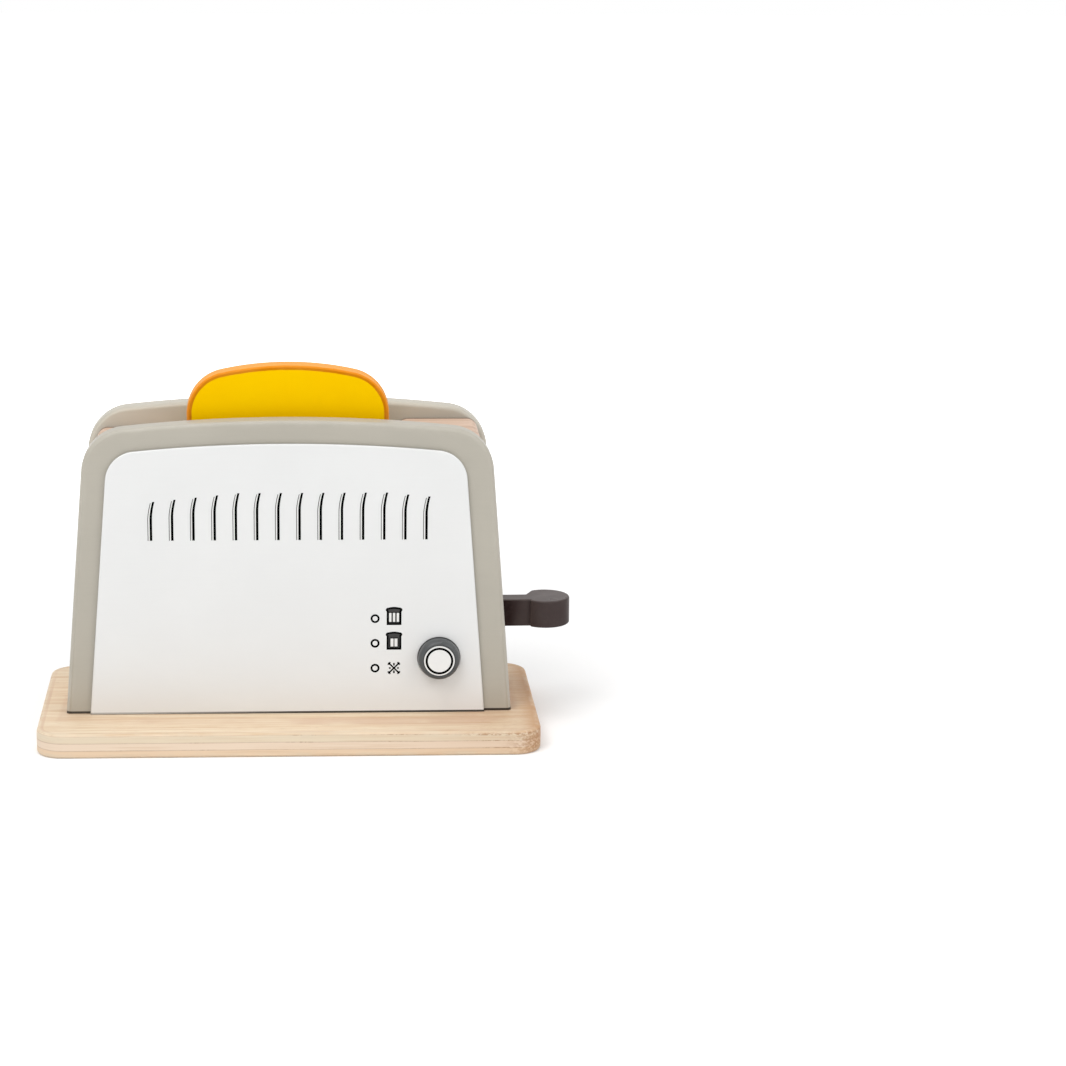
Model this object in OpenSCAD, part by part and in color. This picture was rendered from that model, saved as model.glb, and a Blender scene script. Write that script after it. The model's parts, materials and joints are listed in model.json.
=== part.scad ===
// Wooden toy toaster: a board-built body on a ply base, with a tilting lever that
// lifts a sliding carriage, a magnetic catch let go by a push button, and a slice
// of play toast standing in the front slot.
// Millimetres, +Z up, +X to the lever side, -Y to the front.
// The origin is the middle of the base's underside. The rest pose is lever down.

/* [Base board] */
// Width of the base board
base_w = 190; // [180:1:230]
// Depth of the base board
base_d = 92; // [80:1:110]
// Thickness of the base board
base_t = 9.3; // [7:0.1:14]
// Plan radius of the base corners
base_corner_r = 10; // [3:0.5:20]

/* [Body boards] */
// Width of the front and back boards where they stand on the base
board_w_bottom = 170; // [160:1:178]
// Width of the boards where side and crown would meet
board_w_top = 152; // [150:0.5:156]
// Height of the boards above the base, at the crown
board_h = 113.8; // [108:0.1:140]
// Thickness of the front and back boards
board_t = 9; // [8.5:0.1:12]
// Clear gap between the two boards
slot_gap = 33.5; // [28:0.1:37]
// Distance from the front edge of the base to the front board
front_set = 26.5; // [20:0.5:30]
// Radius of the crowned top edge
crown_r = 590; // [500:10:1500]
// Radius of the boards' shoulders
shoulder_r = 16; // [8:0.5:18]

/* [Front panel] */
// Thickness of the white panel glued on the front board
panel_t = 1.5; // [0.8:0.1:3]
// Margin of grey left at each side of the panel
panel_side_margin = 9.8; // [5:0.1:14]
// How far the panel is set to the left of the middle
panel_set_left = 0.6; // [0:0.1:1]
// Margin of grey left above the panel
panel_top_margin = 8.5; // [5:0.5:14]
// Radius of the panel's shoulders
panel_shoulder_r = 11.5; // [6:0.5:14]

/* [End pieces] */
// Thickness of the end walls that close the body below the top blocks
end_wall_t = 8; // [7:0.5:10]
// How far the end pieces stand back from the boards' side edges
end_inset = 3.5; // [0.5:0.5:4.5]
// How far the right top block's upper face lies below the crown
right_block_drop = 7.8; // [5:0.1:12]
// How far the left top block's upper face lies below the crown
left_block_drop = 10.9; // [7:0.1:14]
// Radius of the top blocks' upper corners at the slots
block_slot_r = 5; // [1:0.5:6]
// Radius of the top blocks' upper corners at the ends
block_end_r = 4; // [1:0.5:6]

/* [Toast] */
// Width of the slice
toast_w = 76.5; // [60:0.25:77]
// Height of the slice
toast_h = 78.6; // [60:0.1:84]
// Thickness of the slice
toast_t = 8; // [5:0.1:9]
// Crown radius of the slice
toast_crown_r = 117; // [90:1:300]
// Radius of the slice's upper corners
toast_shoulder_r = 16.5; // [6:0.5:17]
// Radius of the slice's lower corners
toast_foot_r = 7; // [3:0.5:12]
// Clearance at each end of the slice in its slot
toast_end_clearance = 3.25; // [1:0.25:3.5]

/* [Divider and carriage] */
// Thickness of the divider between the two slots
divider_t = 5; // [3:0.5:6]
// Depth of the grooves that hold the divider
groove_d = 3; // [2:0.5:4]
// Thickness of the two trays
tray_t = 3; // [2:0.1:3.2]
// Thickness of the felt stop pads
stop_pad_t = 3.2; // [1.5:0.1:6]
// Diameter of the guide rods
rod_d = 4; // [3:0.1:5]
// Diameter over the lift springs
lift_spring_d = 8; // [7:0.1:9]

/* [Lever] */
// Distance from the lever pivot to the lift pin
lift_arm = 86; // [84:0.1:87]
// How far the lever pivot lies left of the middle
pivot_left = 24; // [23.5:0.1:25]
// Height of the lever pivot above the ground
pivot_z = 56.5; // [56:0.1:60]
// Angle that the lever tilts from down to up, in degrees
lever_travel = 14; // [9.5:0.5:17]
// Angle that the inner arm slopes down at rest, in degrees
arm_slope = 9.3; // [8:0.1:10]
// Thickness of the lever
lever_t = 8.4; // [5:0.1:10]
// Height of the lever
lever_h = 10.4; // [8:0.1:11]
// Radius of the round head of the lever
head_r = 9.5; // [7:0.1:11]
// Distance from the elbow to the middle of the head
head_reach = 35.9; // [32:0.1:45]
// How far the head is set to the back of the neck's middle
head_set_back = 1.8; // [0:0.1:3]
// Diameter of the pivot pin and the lift pin
pin_d = 4; // [3:0.1:4.2]

/* [Button] */
// Distance of the button to the right of the middle
button_x = 57; // [54:0.5:58]
// Height of the button above the ground
button_z = 31; // [29:0.1:31]
// Diameter of the button's head
button_d = 16; // [12:0.5:18]
// Diameter of the button's flat face
button_face_d = 12.8; // [8:0.1:14]
// How far the button stands proud of the panel at rest
button_proud = 4.5; // [4:0.1:8]
// Travel of the button
button_travel = 3; // [2:0.1:3.5]
// Diameter of the button's stem
stem_d = 6; // [5:0.1:8]
// Diameter of the two catch magnets
magnet_d = 5; // [4:0.1:6]

/* [Fits] */
// Radial clearance of a pin or rod that runs in a bore
running_fit = 0.08; // [0.02:0.01:0.1]
// Radial clearance of the button's head in its well
button_clearance = 0.3; // [0.2:0.05:0.5]
// Clearance between flat faces that pass one another
side_gap = 0.3; // [0.2:0.05:0.5]
// Clearance around screws, dowels and other fixed round pieces
fixed_fit = 0.05; // [0.02:0.01:0.1]

/* [Hidden] */
$fn = 64;

// Planes across the depth
front_y = -base_d / 2 + front_set;
inner_front_y = front_y + board_t;
inner_back_y = inner_front_y + slot_gap;
back_y = inner_back_y + board_t;
mid_y = (inner_front_y + inner_back_y) / 2;
panel_y = front_y - panel_t;

// Levels
body_top_z = base_t + board_h;
right_block_top_z = body_top_z - right_block_drop;
left_block_top_z = body_top_z - left_block_drop;
low_block_top_z = min(left_block_top_z, right_block_top_z);

// Lean of the boards' sides, in degrees from upright
side_lean = atan((board_w_bottom - board_w_top) / 2 / board_h);

// Slots
slot_half_w = toast_w / 2 + toast_end_clearance;
divider_front_y = mid_y - divider_t / 2;
divider_back_y = mid_y + divider_t / 2;
front_slot_y = (inner_front_y + divider_front_y) / 2;

// Lever: the elbow is where the sloping arm meets the level handle
elbow_reach = 89.2;
elbow_x = -pivot_left + elbow_reach * cos(arm_slope);
elbow_z = pivot_z - elbow_reach * sin(arm_slope);
handle_tilt = 0.3;
lap_start = 2;
lap_end = 16;
lap_gap = 0.2;
arm_end_r = 6.5;
lift_pin_x = -pivot_left + lift_arm * cos(arm_slope);
lift_pin_z = pivot_z - lift_arm * sin(arm_slope);
head_flat = 6.3;

// Lift of the carriage over the lever's whole travel
lift_h = lift_arm * (sin(lever_travel - arm_slope) + sin(arm_slope));

// Carriage
tray_top_z = pivot_z + 7;
tray_z = tray_top_z - tray_t;
tray_left_x = -slot_half_w + 5.5;
block_left_x = slot_half_w - 1.5;
block_right_x = lift_pin_x + 5;
block_z = lift_pin_z - pin_d / 2 - 3.2;
cheek_back_y = mid_y - lever_t / 2 - 2 * side_gap;
tray_board_clearance = 0.8;
cheek_front_y = inner_front_y + tray_board_clearance;
bridge_left_x = lift_pin_x - 8.9;
bridge_z = lift_pin_z + 8.4;
rod_x = slot_half_w + 5.5;
front_rod_y = (cheek_front_y + cheek_back_y) / 2;
back_rod_y = 2 * mid_y - front_rod_y;
stop_pad_w = cheek_back_y - cheek_front_y - 2;
rod_seat = 6;
rod_seat_base = 5;
spring_bore_d = rod_d + 0.8;
pin_slot_play = 0.2;
pin_slot_sweep = lift_arm * (1 - cos(arm_slope));

// Top blocks and divider: the raised trays stop just below the pads
stop_gap = 0.35;
top_block_z = tray_top_z + lift_h + stop_gap + stop_pad_t;
divider_z = top_block_z - 16;
divider_top_z = low_block_top_z - block_slot_r;

// Button and magnetic catch
button_hold = 2.5;
button_len = button_proud + button_hold;
button_spring_solid = 2.5;
button_front_y = panel_y - button_proud;
button_back_y = button_front_y + button_len;
well_y = button_back_y + button_travel + button_spring_solid;
face_t = 0.4;
holder_w = 10;
holder_d = 10;
holder_front_y = inner_front_y + side_gap;
holder_top_z = block_z - 0.8;
holder_z = button_z - 6.5;
magnet_t = 2.5;
magnet_y = holder_front_y + 4.9;
holder_magnet_t = 1.95;
holder_magnet_z = holder_top_z - holder_magnet_t;
stem_in_holder = 7.6;
holder_screw_d = 2.5;
holder_screw_head_d = 4.6;

// Fasteners
base_screw_d = 3.5;
base_screw_head_d = 7;
base_screw_len = 24;
base_screw_sink = 0.6;
board_screw_x = 40;
wall_screw_x = board_w_bottom / 2 - end_inset - end_wall_t / 2 - 1.2;
dowel_d = 5;
dowel_seat = 5;
block_dowel_x = slot_half_w + 16.5;
block_dowel_z = (top_block_z + low_block_top_z) / 2;
wall_dowel_z = base_t + 21;
tray_screw_d = 2.4;
tray_screw_head_d = 4.6;
tray_screw_len = 13;
tray_screw_xs = [rod_x + 5.4, lift_pin_x + 0.5];
handle_screw_d = 2.4;
handle_screw_head_d = 4.4;

// ---------------------------------------------------------------- outlines

// Unit vector at angle a
function dir(a) = [cos(a), sin(a)];

// Points of an arc about c, from angle a0 to a1
function arc(c, r, a0, a1, n) = [for (i = [0:n]) c + r * dir(a0 + (a1 - a0) * i / n)];

// Middle of the fillet between a leaning right side and a crowned top
function shoulder(half_w, z0, lean, top_z, crown, r) =
    let (
        q = [0, top_z - crown],
        p = [half_w - r * cos(lean), z0 - r * sin(lean)],
        u = [-sin(lean), cos(lean)],
        b = (p - q) * u,
        c = (p - q) * (p - q) - pow(crown - r, 2),
        t = -b + sqrt(b * b - c)
    ) p + t * u;

// Outline of a board: level foot, leaning sides, filleted shoulders, crowned top
function board_outline(half_w, z0, lean, top_z, crown, r) =
    let (
        s = shoulder(half_w, z0, lean, top_z, crown, r),
        q = [0, top_z - crown],
        a = atan2(s[1] - q[1], s[0] - q[0]),
        right = arc(s, r, lean, a, 10),
        top = arc(q, crown, a, 180 - a, 16),
        left = arc([-s[0], s[1]], r, 180 - a, 180 - lean, 10)
    ) concat(
        [[half_w, z0]], right, [for (i = [1:15]) top[i]], left, [[-half_w, z0]]
    );

// Outline of the slice, with rounded lower corners
function toast_outline(w, h, crown, r, foot_r) =
    let (
        s = shoulder(w / 2, 0, 0, h, crown, r),
        q = [0, h - crown],
        a = atan2(s[1] - q[1], s[0] - q[0]),
        top = arc(q, crown, a, 180 - a, 16)
    ) concat(
        arc([w / 2 - foot_r, foot_r], foot_r, -90, 0, 8),
        arc(s, r, 0, a, 10),
        [for (i = [1:15]) top[i]],
        arc([-s[0], s[1]], r, 180 - a, 180, 10),
        arc([-w / 2 + foot_r, foot_r], foot_r, 180, 270, 8)
    );

// Half width of a leaning end piece's outer face at height z
function end_x(z) = board_w_bottom / 2 - end_inset - (z - base_t) * tan(side_lean);

// ---------------------------------------------------------------- helpers

// Extrudes an X-Z outline from y0 to y1
module slab(y0, y1) {
    translate([0, y1, 0]) rotate([90, 0, 0]) linear_extrude(y1 - y0) children();
}

// A box given by its lowest and highest corners
module block(low, high) {
    translate(low) cube(high - low);
}

// A cylinder along Y from y0 to y1
module rod_y(x, z, d, y0, y1) {
    translate([x, y1, z]) rotate([90, 0, 0]) cylinder(d = d, h = y1 - y0);
}

// A cylinder along Z from z0 to z1
module rod_z(x, y, d, z0, z1) {
    translate([x, y, z0]) cylinder(d = d, h = z1 - z0);
}

// A countersunk screw whose head lies level with the XY plane and points down
module countersunk_screw(d, head_d, len) {
    head_h = (head_d - d) / 2;
    rotate_extrude() polygon([
        [0, 0], [head_d / 2, 0], [d / 2, -head_h], [d / 2, -len + d], [0, -len]
    ]);
}

// The space that such a screw fills, with clearance c around it
module screw_space(d, head_d, len, c) {
    head_h = (head_d - d) / 2;
    rotate_extrude() polygon([
        [0, 1], [head_d / 2 + c, 1], [head_d / 2 + c, 0], [d / 2 + c, -head_h],
        [d / 2 + c, -len + d - c], [0, -len - 2 * c]
    ]);
}

module place_lever() {
    translate([elbow_x, 0, elbow_z]) rotate([0, -handle_tilt, 0]) children();
}

// Places of the six base screws, as X and Y
base_screw_places = [
    for (x = [-board_screw_x, board_screw_x]) for (y = [front_y + board_t / 2, back_y - board_t / 2]) [x, y],
    [-wall_screw_x, mid_y],
    [wall_screw_x, mid_y]
];

// Places of the four cross dowels, as X and Z
cross_dowel_places = [
    for (s = [-1, 1]) [s * block_dowel_x, block_dowel_z],
    for (s = [-1, 1]) [s * (end_x(wall_dowel_z) - end_wall_t / 2), wall_dowel_z]
];

module base_screw_shapes(spaces = false) {
    for (p = base_screw_places) {
        translate([p[0], p[1], base_screw_sink]) rotate([180, 0, 0]) {
            if (spaces) {
                screw_space(base_screw_d, base_screw_head_d, base_screw_len, fixed_fit);
            } else {
                countersunk_screw(base_screw_d, base_screw_head_d, base_screw_len);
            }
        }
    }
}

module cross_dowel_shapes(d) {
    for (p = cross_dowel_places) {
        rod_y(p[0], p[1], d, inner_front_y - dowel_seat, inner_back_y + dowel_seat);
    }
}

// ---------------------------------------------------------------- body

module base_board() {
    color("wheat") difference() {
        union() {
            block(
                [-base_w / 2 + base_corner_r, -base_d / 2, 0],
                [base_w / 2 - base_corner_r, base_d / 2, base_t]
            );
            block(
                [-base_w / 2, -base_d / 2 + base_corner_r, 0],
                [base_w / 2, base_d / 2 - base_corner_r, base_t]
            );
            for (x = [-1, 1]) for (y = [-1, 1]) {
                translate([x * (base_w / 2 - base_corner_r), y * (base_d / 2 - base_corner_r), 0])
                    cylinder(r = base_corner_r, h = base_t);
            }
        }
        base_screw_shapes(spaces = true);
        for (y = [front_rod_y, back_rod_y]) {
            rod_z(rod_x, y, rod_d + 2 * fixed_fit, base_t - rod_seat_base - fixed_fit, base_t + 1);
        }
    }
}

// Holes that the front and the back board share
module board_holes() {
    base_screw_shapes(spaces = true);
    cross_dowel_shapes(dowel_d + 2 * fixed_fit);
    rod_y(-pivot_left, pivot_z, pin_d + 2 * fixed_fit, inner_front_y - dowel_seat, inner_back_y + dowel_seat);
}

module board_shape(y0, y1) {
    slab(y0, y1) polygon(board_outline(
        board_w_bottom / 2, base_t, side_lean, body_top_z, crown_r, shoulder_r
    ));
}

module front_board() {
    color([0.73, 0.70, 0.66]) difference() {
        board_shape(front_y, inner_front_y);
        board_holes();
        rod_y(button_x, button_z, button_d + 2 * button_clearance, front_y - 1, well_y);
        rod_y(button_x, button_z, stem_d + 2 * running_fit, well_y - 1, inner_front_y + 1);
    }
}

module back_board() {
    color([0.73, 0.70, 0.66]) difference() {
        board_shape(inner_back_y, back_y);
        board_holes();
    }
}

module front_panel() {
    color([0.93, 0.93, 0.92]) difference() {
        translate([-panel_set_left, 0, 0]) slab(panel_y, front_y) polygon(board_outline(
            board_w_bottom / 2 - panel_side_margin, base_t, side_lean,
            body_top_z - panel_top_margin, crown_r, panel_shoulder_r
        ));
        rod_y(button_x, button_z, button_d + 2 * button_clearance, panel_y - 1, front_y + 1);
    }
}

// A top block at the right end, with its upper face at height top_z
module top_block(top_z, with_rods) {
    end_corner = [end_x(top_z - block_end_r) - block_end_r / cos(side_lean), top_z - block_end_r];
    slot_corner = [slot_half_w + block_slot_r, top_z - block_slot_r];
    difference() {
        slab(inner_front_y, inner_back_y) polygon(concat(
            [[slot_half_w, top_block_z], [end_x(top_block_z), top_block_z]],
            arc(end_corner, block_end_r, side_lean, 90, 8),
            arc(slot_corner, block_slot_r, 90, 180, 8)
        ));
        block(
            [slot_half_w - 1, divider_front_y - fixed_fit, top_block_z - 1],
            [slot_half_w + groove_d + side_gap, divider_back_y + fixed_fit, divider_top_z + fixed_fit]
        );
        rod_y(block_dowel_x, block_dowel_z, dowel_d + 2 * fixed_fit, inner_front_y - 1, inner_back_y + 1);
        if (with_rods) {
            for (y = [front_rod_y, back_rod_y]) {
                rod_z(rod_x, y, rod_d + 2 * fixed_fit, top_block_z - 1, top_block_z + rod_seat + fixed_fit);
            }
        }
    }
}

module right_top_block() {
    color("burlywood") top_block(right_block_top_z, true);
}

module left_top_block() {
    color("burlywood") mirror([1, 0, 0]) top_block(left_block_top_z, false);
}

module end_wall() {
    difference() {
        slab(inner_front_y, inner_back_y) polygon([
            [end_x(base_t) - end_wall_t, base_t], [end_x(base_t), base_t],
            [end_x(top_block_z), top_block_z], [end_x(top_block_z) - end_wall_t, top_block_z]
        ]);
        base_screw_shapes(spaces = true);
        cross_dowel_shapes(dowel_d + 2 * fixed_fit);
    }
}

// Height of the handle's middle at distance x from the middle, lever down or up
function handle_low_z(x) = elbow_z + (x - elbow_x) * tan(handle_tilt);
elbow_up_angle = lever_travel - arm_slope;
elbow_up_x = -pivot_left + elbow_reach * cos(elbow_up_angle);
elbow_up_z = pivot_z + elbow_reach * sin(elbow_up_angle);
function handle_high_z(x) = elbow_up_z + (x - elbow_up_x) * tan(handle_tilt + lever_travel);
lever_slot_low_z = handle_low_z(elbow_x) - lever_h / 2 - 1.5;
lever_slot_high_z = handle_high_z(end_x(base_t)) + lever_h / 2 / cos(handle_tilt + lever_travel) + 1.5;

module right_end_wall() {
    color("burlywood") difference() {
        end_wall();
        block(
            [elbow_x, mid_y - lever_t / 2 - 2 * side_gap, lever_slot_low_z],
            [board_w_bottom / 2, mid_y + lever_t / 2 + 2 * side_gap, lever_slot_high_z]
        );
    }
}

module left_end_wall() {
    color("burlywood") mirror([1, 0, 0]) end_wall();
}

module slot_divider() {
    color("tan") union() {
        block(
            [-slot_half_w + fixed_fit, divider_front_y, divider_z],
            [slot_half_w - fixed_fit, divider_back_y, divider_top_z]
        );
        block(
            [-slot_half_w - groove_d, divider_front_y, top_block_z + fixed_fit],
            [slot_half_w + groove_d, divider_back_y, divider_top_z]
        );
    }
}

module base_screws() {
    color("silver") base_screw_shapes();
}

module cross_dowels() {
    color("burlywood") cross_dowel_shapes(dowel_d);
}

module guide_rods() {
    color("silver") for (y = [front_rod_y, back_rod_y]) {
        rod_z(rod_x, y, rod_d, base_t - rod_seat_base, top_block_z + rod_seat);
    }
}

module stop_pads() {
    color("dimgray") for (y = [front_rod_y, back_rod_y]) {
        difference() {
            block(
                [slot_half_w + 1, y - stop_pad_w / 2, top_block_z - stop_pad_t],
                [slot_half_w + 17, y + stop_pad_w / 2, top_block_z]
            );
            rod_z(rod_x, y, rod_d + 2 * fixed_fit, top_block_z - stop_pad_t - 1, top_block_z + 1);
        }
    }
}

// ---------------------------------------------------------------- lever

module pivot_pin() {
    color("silver") rod_y(-pivot_left, pivot_z, pin_d, inner_front_y - dowel_seat, inner_back_y + dowel_seat);
}

module pivot_sleeves() {
    sleeve_d = pin_d + 2.4;
    color("dimgray") for (span = [
        [inner_front_y, mid_y - lever_t / 2 - side_gap],
        [mid_y + lever_t / 2 + side_gap, inner_back_y]
    ]) {
        difference() {
            rod_y(-pivot_left, pivot_z, sleeve_d, span[0], span[1]);
            rod_y(-pivot_left, pivot_z, pin_d + 2 * fixed_fit, span[0] - 1, span[1] + 1);
        }
    }
}

// Sinks a handle screw's head level with the arm's front face
module handle_screw_shapes(spaces = false) {
    for (u = [lap_start + 3.5, lap_end - 3.5]) {
        place_lever() translate([u, mid_y - lever_t / 2, 0]) rotate([90, 0, 0]) {
            if (spaces) {
                screw_space(handle_screw_d, handle_screw_head_d, lever_t - 0.8, fixed_fit);
            } else {
                countersunk_screw(handle_screw_d, handle_screw_head_d, lever_t - 0.8);
            }
        }
    }
}

// Side view of the bent arm: a round end, a sloping bar and a short bar along the handle
module arm_outline() {
    pivot = [-pivot_left, pivot_z];
    elbow = [elbow_x, elbow_z];
    tip = elbow + (lap_end - lap_gap) * dir(handle_tilt);
    tip_rise = lever_h / 2 * dir(90 + handle_tilt);
    mitre = lever_h / 2 / cos((arm_slope + handle_tilt) / 2) * dir(90 + (handle_tilt - arm_slope) / 2);
    shoulder_angle = asin(lever_h / 2 / arm_end_r);
    polygon(concat(
        arc(pivot, arm_end_r, shoulder_angle - arm_slope, 360 - shoulder_angle - arm_slope, 24),
        [elbow - mitre, tip - tip_rise, tip + tip_rise, elbow + mitre]
    ));
}

module lever_arm() {
    color([0.80, 0.66, 0.47]) difference() {
        slab(mid_y - lever_t / 2, mid_y + lever_t / 2) arm_outline();
        place_lever() block([lap_start, mid_y, -lever_h], [lap_end, mid_y + lever_t, lever_h]);
        rod_y(-pivot_left, pivot_z, pin_d + 2 * running_fit, mid_y - lever_t, mid_y + lever_t);
        rod_y(lift_pin_x, lift_pin_z, pin_d + 2 * fixed_fit, mid_y - lever_t, mid_y + lever_t);
        handle_screw_shapes(spaces = true);
    }
}

module lever_handle() {
    color([0.24, 0.22, 0.22]) difference() {
        place_lever() union() {
            block(
                [lap_start + lap_gap, mid_y, -lever_h / 2],
                [lap_end + 1, mid_y + lever_t / 2, lever_h / 2]
            );
            block(
                [lap_end, mid_y - lever_t / 2, -lever_h / 2],
                [head_reach - head_flat + 1, mid_y + lever_t / 2, lever_h / 2]
            );
            intersection() {
                translate([head_reach, mid_y + head_set_back, -lever_h / 2])
                    cylinder(r = head_r, h = lever_h);
                block(
                    [head_reach - head_flat, mid_y - 2 * head_r, -lever_h],
                    [head_reach + 2 * head_r, mid_y + 2 * head_r, lever_h]
                );
            }
        }
        handle_screw_shapes(spaces = true);
    }
}

module handle_screws() {
    color("silver") handle_screw_shapes();
}

module lift_pin() {
    color("silver") rod_y(lift_pin_x, lift_pin_z, pin_d, cheek_front_y + 1, 2 * mid_y - cheek_front_y - 1);
}

// ---------------------------------------------------------------- carriage

// Does something for the front tray and, mirrored about mid_y, for the back one
module both_sides() {
    children();
    translate([0, 2 * mid_y, 0]) mirror([0, 1, 0]) children();
}

module tray_screw_shapes(spaces = false) {
    both_sides() for (x = tray_screw_xs) {
        translate([x, front_rod_y, tray_top_z]) {
            if (spaces) {
                screw_space(tray_screw_d, tray_screw_head_d, tray_screw_len, fixed_fit);
            } else {
                countersunk_screw(tray_screw_d, tray_screw_head_d, tray_screw_len);
            }
        }
    }
}

// The level slot in each cheek that the lift pin slides along
module pin_slot() {
    slot_d = pin_d + 2 * pin_slot_play;
    low_y = cheek_front_y - 1;
    high_y = 2 * mid_y - low_y;
    rod_y(lift_pin_x - pin_slot_play, lift_pin_z, slot_d, low_y, high_y);
    rod_y(lift_pin_x + pin_slot_sweep + pin_slot_play, lift_pin_z, slot_d, low_y, high_y);
    block(
        [lift_pin_x - pin_slot_play, low_y, lift_pin_z - slot_d / 2],
        [lift_pin_x + pin_slot_sweep + pin_slot_play, high_y, lift_pin_z + slot_d / 2]
    );
}

module carriage_block() {
    color("gainsboro") difference() {
        union() {
            both_sides() block([block_left_x, cheek_front_y, block_z], [block_right_x, cheek_back_y, tray_z]);
            block(
                [bridge_left_x, cheek_front_y, bridge_z],
                [block_right_x, 2 * mid_y - cheek_front_y, tray_z]
            );
        }
        both_sides() rod_z(rod_x, front_rod_y, rod_d + 2 * running_fit, block_z - 1, tray_z + 1);
        pin_slot();
        tray_screw_shapes(spaces = true);
        rod_z(button_x, magnet_y, magnet_d + 2 * fixed_fit, block_z - 1, block_z + magnet_t + fixed_fit);
    }
}

// The front tray; the back one is its mirror image
module tray() {
    difference() {
        block([tray_left_x, cheek_front_y, tray_z], [block_right_x, cheek_back_y, tray_top_z]);
        rod_z(rod_x, front_rod_y, rod_d + 2 * running_fit, tray_z - 1, tray_top_z + 1);
        tray_screw_shapes(spaces = true);
    }
}

module front_tray() {
    color("tan") tray();
}

module back_tray() {
    color("tan") translate([0, 2 * mid_y, 0]) mirror([0, 1, 0]) tray();
}

module tray_screws() {
    color("silver") tray_screw_shapes();
}

module carriage_magnet() {
    color("silver") rod_z(button_x, magnet_y, magnet_d, block_z, block_z + magnet_t);
}

module lift_spring(y) {
    difference() {
        rod_z(rod_x, y, lift_spring_d, base_t, block_z - side_gap);
        rod_z(rod_x, y, spring_bore_d, base_t - 1, block_z + 1);
    }
}

module front_lift_spring() {
    color("silver") lift_spring(front_rod_y);
}

module back_lift_spring() {
    color("silver") lift_spring(back_rod_y);
}

// ---------------------------------------------------------------- button

module button_knob() {
    r = button_d / 2;
    face_r = button_face_d / 2;
    shoulder_len = 3.5;
    stem_end = holder_front_y + stem_in_holder - button_front_y;
    color([0.28, 0.28, 0.29]) translate([button_x, button_front_y, button_z]) rotate([-90, 0, 0])
        difference() {
            rotate_extrude() polygon(concat(
                [[0, 0], [face_r, 0]],
                [
                    for (i = [1:8]) let (a = 90 * i / 8)
                        [face_r + (r - face_r) * sin(a), shoulder_len * (1 - cos(a))]
                ],
                [[r, button_len], [stem_d / 2, button_len], [stem_d / 2, stem_end], [0, stem_end]]
            ));
            translate([0, 0, -1]) cylinder(d = button_face_d - 0.5, h = 1 + face_t);
            translate([0, 0, stem_end - 6]) cylinder(d = holder_screw_d + 2 * fixed_fit, h = 7);
        }
}

module button_face() {
    color("white") rod_y(button_x, button_z, button_face_d - 0.6, button_front_y, button_front_y + face_t);
}

module button_spring() {
    color("silver") difference() {
        rod_y(button_x, button_z, stem_d + 5, button_back_y, well_y);
        rod_y(button_x, button_z, stem_d + 1, button_back_y - 1, well_y + 1);
    }
}

module magnet_holder() {
    color([0.62, 0.48, 0.33]) difference() {
        block(
            [button_x - holder_w / 2, holder_front_y, holder_z],
            [button_x + holder_w / 2, holder_front_y + holder_d, holder_top_z]
        );
        rod_y(
            button_x, button_z, stem_d + 2 * fixed_fit,
            holder_front_y - 1, holder_front_y + stem_in_holder + fixed_fit
        );
        rod_y(
            button_x, button_z, holder_screw_d + 2 * fixed_fit,
            holder_front_y, holder_front_y + holder_d + 1
        );
        rod_z(button_x, magnet_y, magnet_d + 2 * fixed_fit, holder_magnet_z - fixed_fit, holder_top_z + 1);
    }
}

module holder_magnet() {
    color("silver") rod_z(button_x, magnet_y, magnet_d, holder_magnet_z, holder_top_z);
}

module holder_screw() {
    back = holder_front_y + holder_d;
    color("silver") union() {
        rod_y(button_x, button_z, holder_screw_head_d, back, back + 1.6);
        rod_y(button_x, button_z, holder_screw_d, back - holder_d + stem_in_holder - 5, back + 0.5);
    }
}

// ---------------------------------------------------------------- toast

module toast_slice() {
    color([0.97, 0.78, 0.06]) translate([0, 0, tray_top_z])
        slab(front_slot_y - toast_t / 2, front_slot_y + toast_t / 2)
            polygon(toast_outline(toast_w, toast_h, toast_crown_r, toast_shoulder_r, toast_foot_r));
}

base_board();
front_board();
back_board();
front_panel();
left_top_block();
right_top_block();
left_end_wall();
right_end_wall();
slot_divider();
base_screws();
cross_dowels();
guide_rods();
stop_pads();
pivot_pin();
pivot_sleeves();
lever_arm();
lever_handle();
handle_screws();
lift_pin();
carriage_block();
front_tray();
back_tray();
tray_screws();
carriage_magnet();
front_lift_spring();
back_lift_spring();
button_knob();
button_face();
button_spring();
magnet_holder();
holder_magnet();
holder_screw();
toast_slice();
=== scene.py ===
"""Looks of a wooden toy toaster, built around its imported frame.

The body stands on a ply base: two grey boards with a white panel, pale wood between them,
a charcoal lever, a push button and a slice of play toast.
Lengths are metres, +Z up, +X to the lever side and -Y to the front, as in the frame.
"""
from __future__ import annotations

import json
import logging
import math
from collections.abc import Sequence
from dataclasses import dataclass
from enum import Enum
from functools import cache

import bmesh
import bpy
from mathutils import Matrix, Vector


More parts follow.
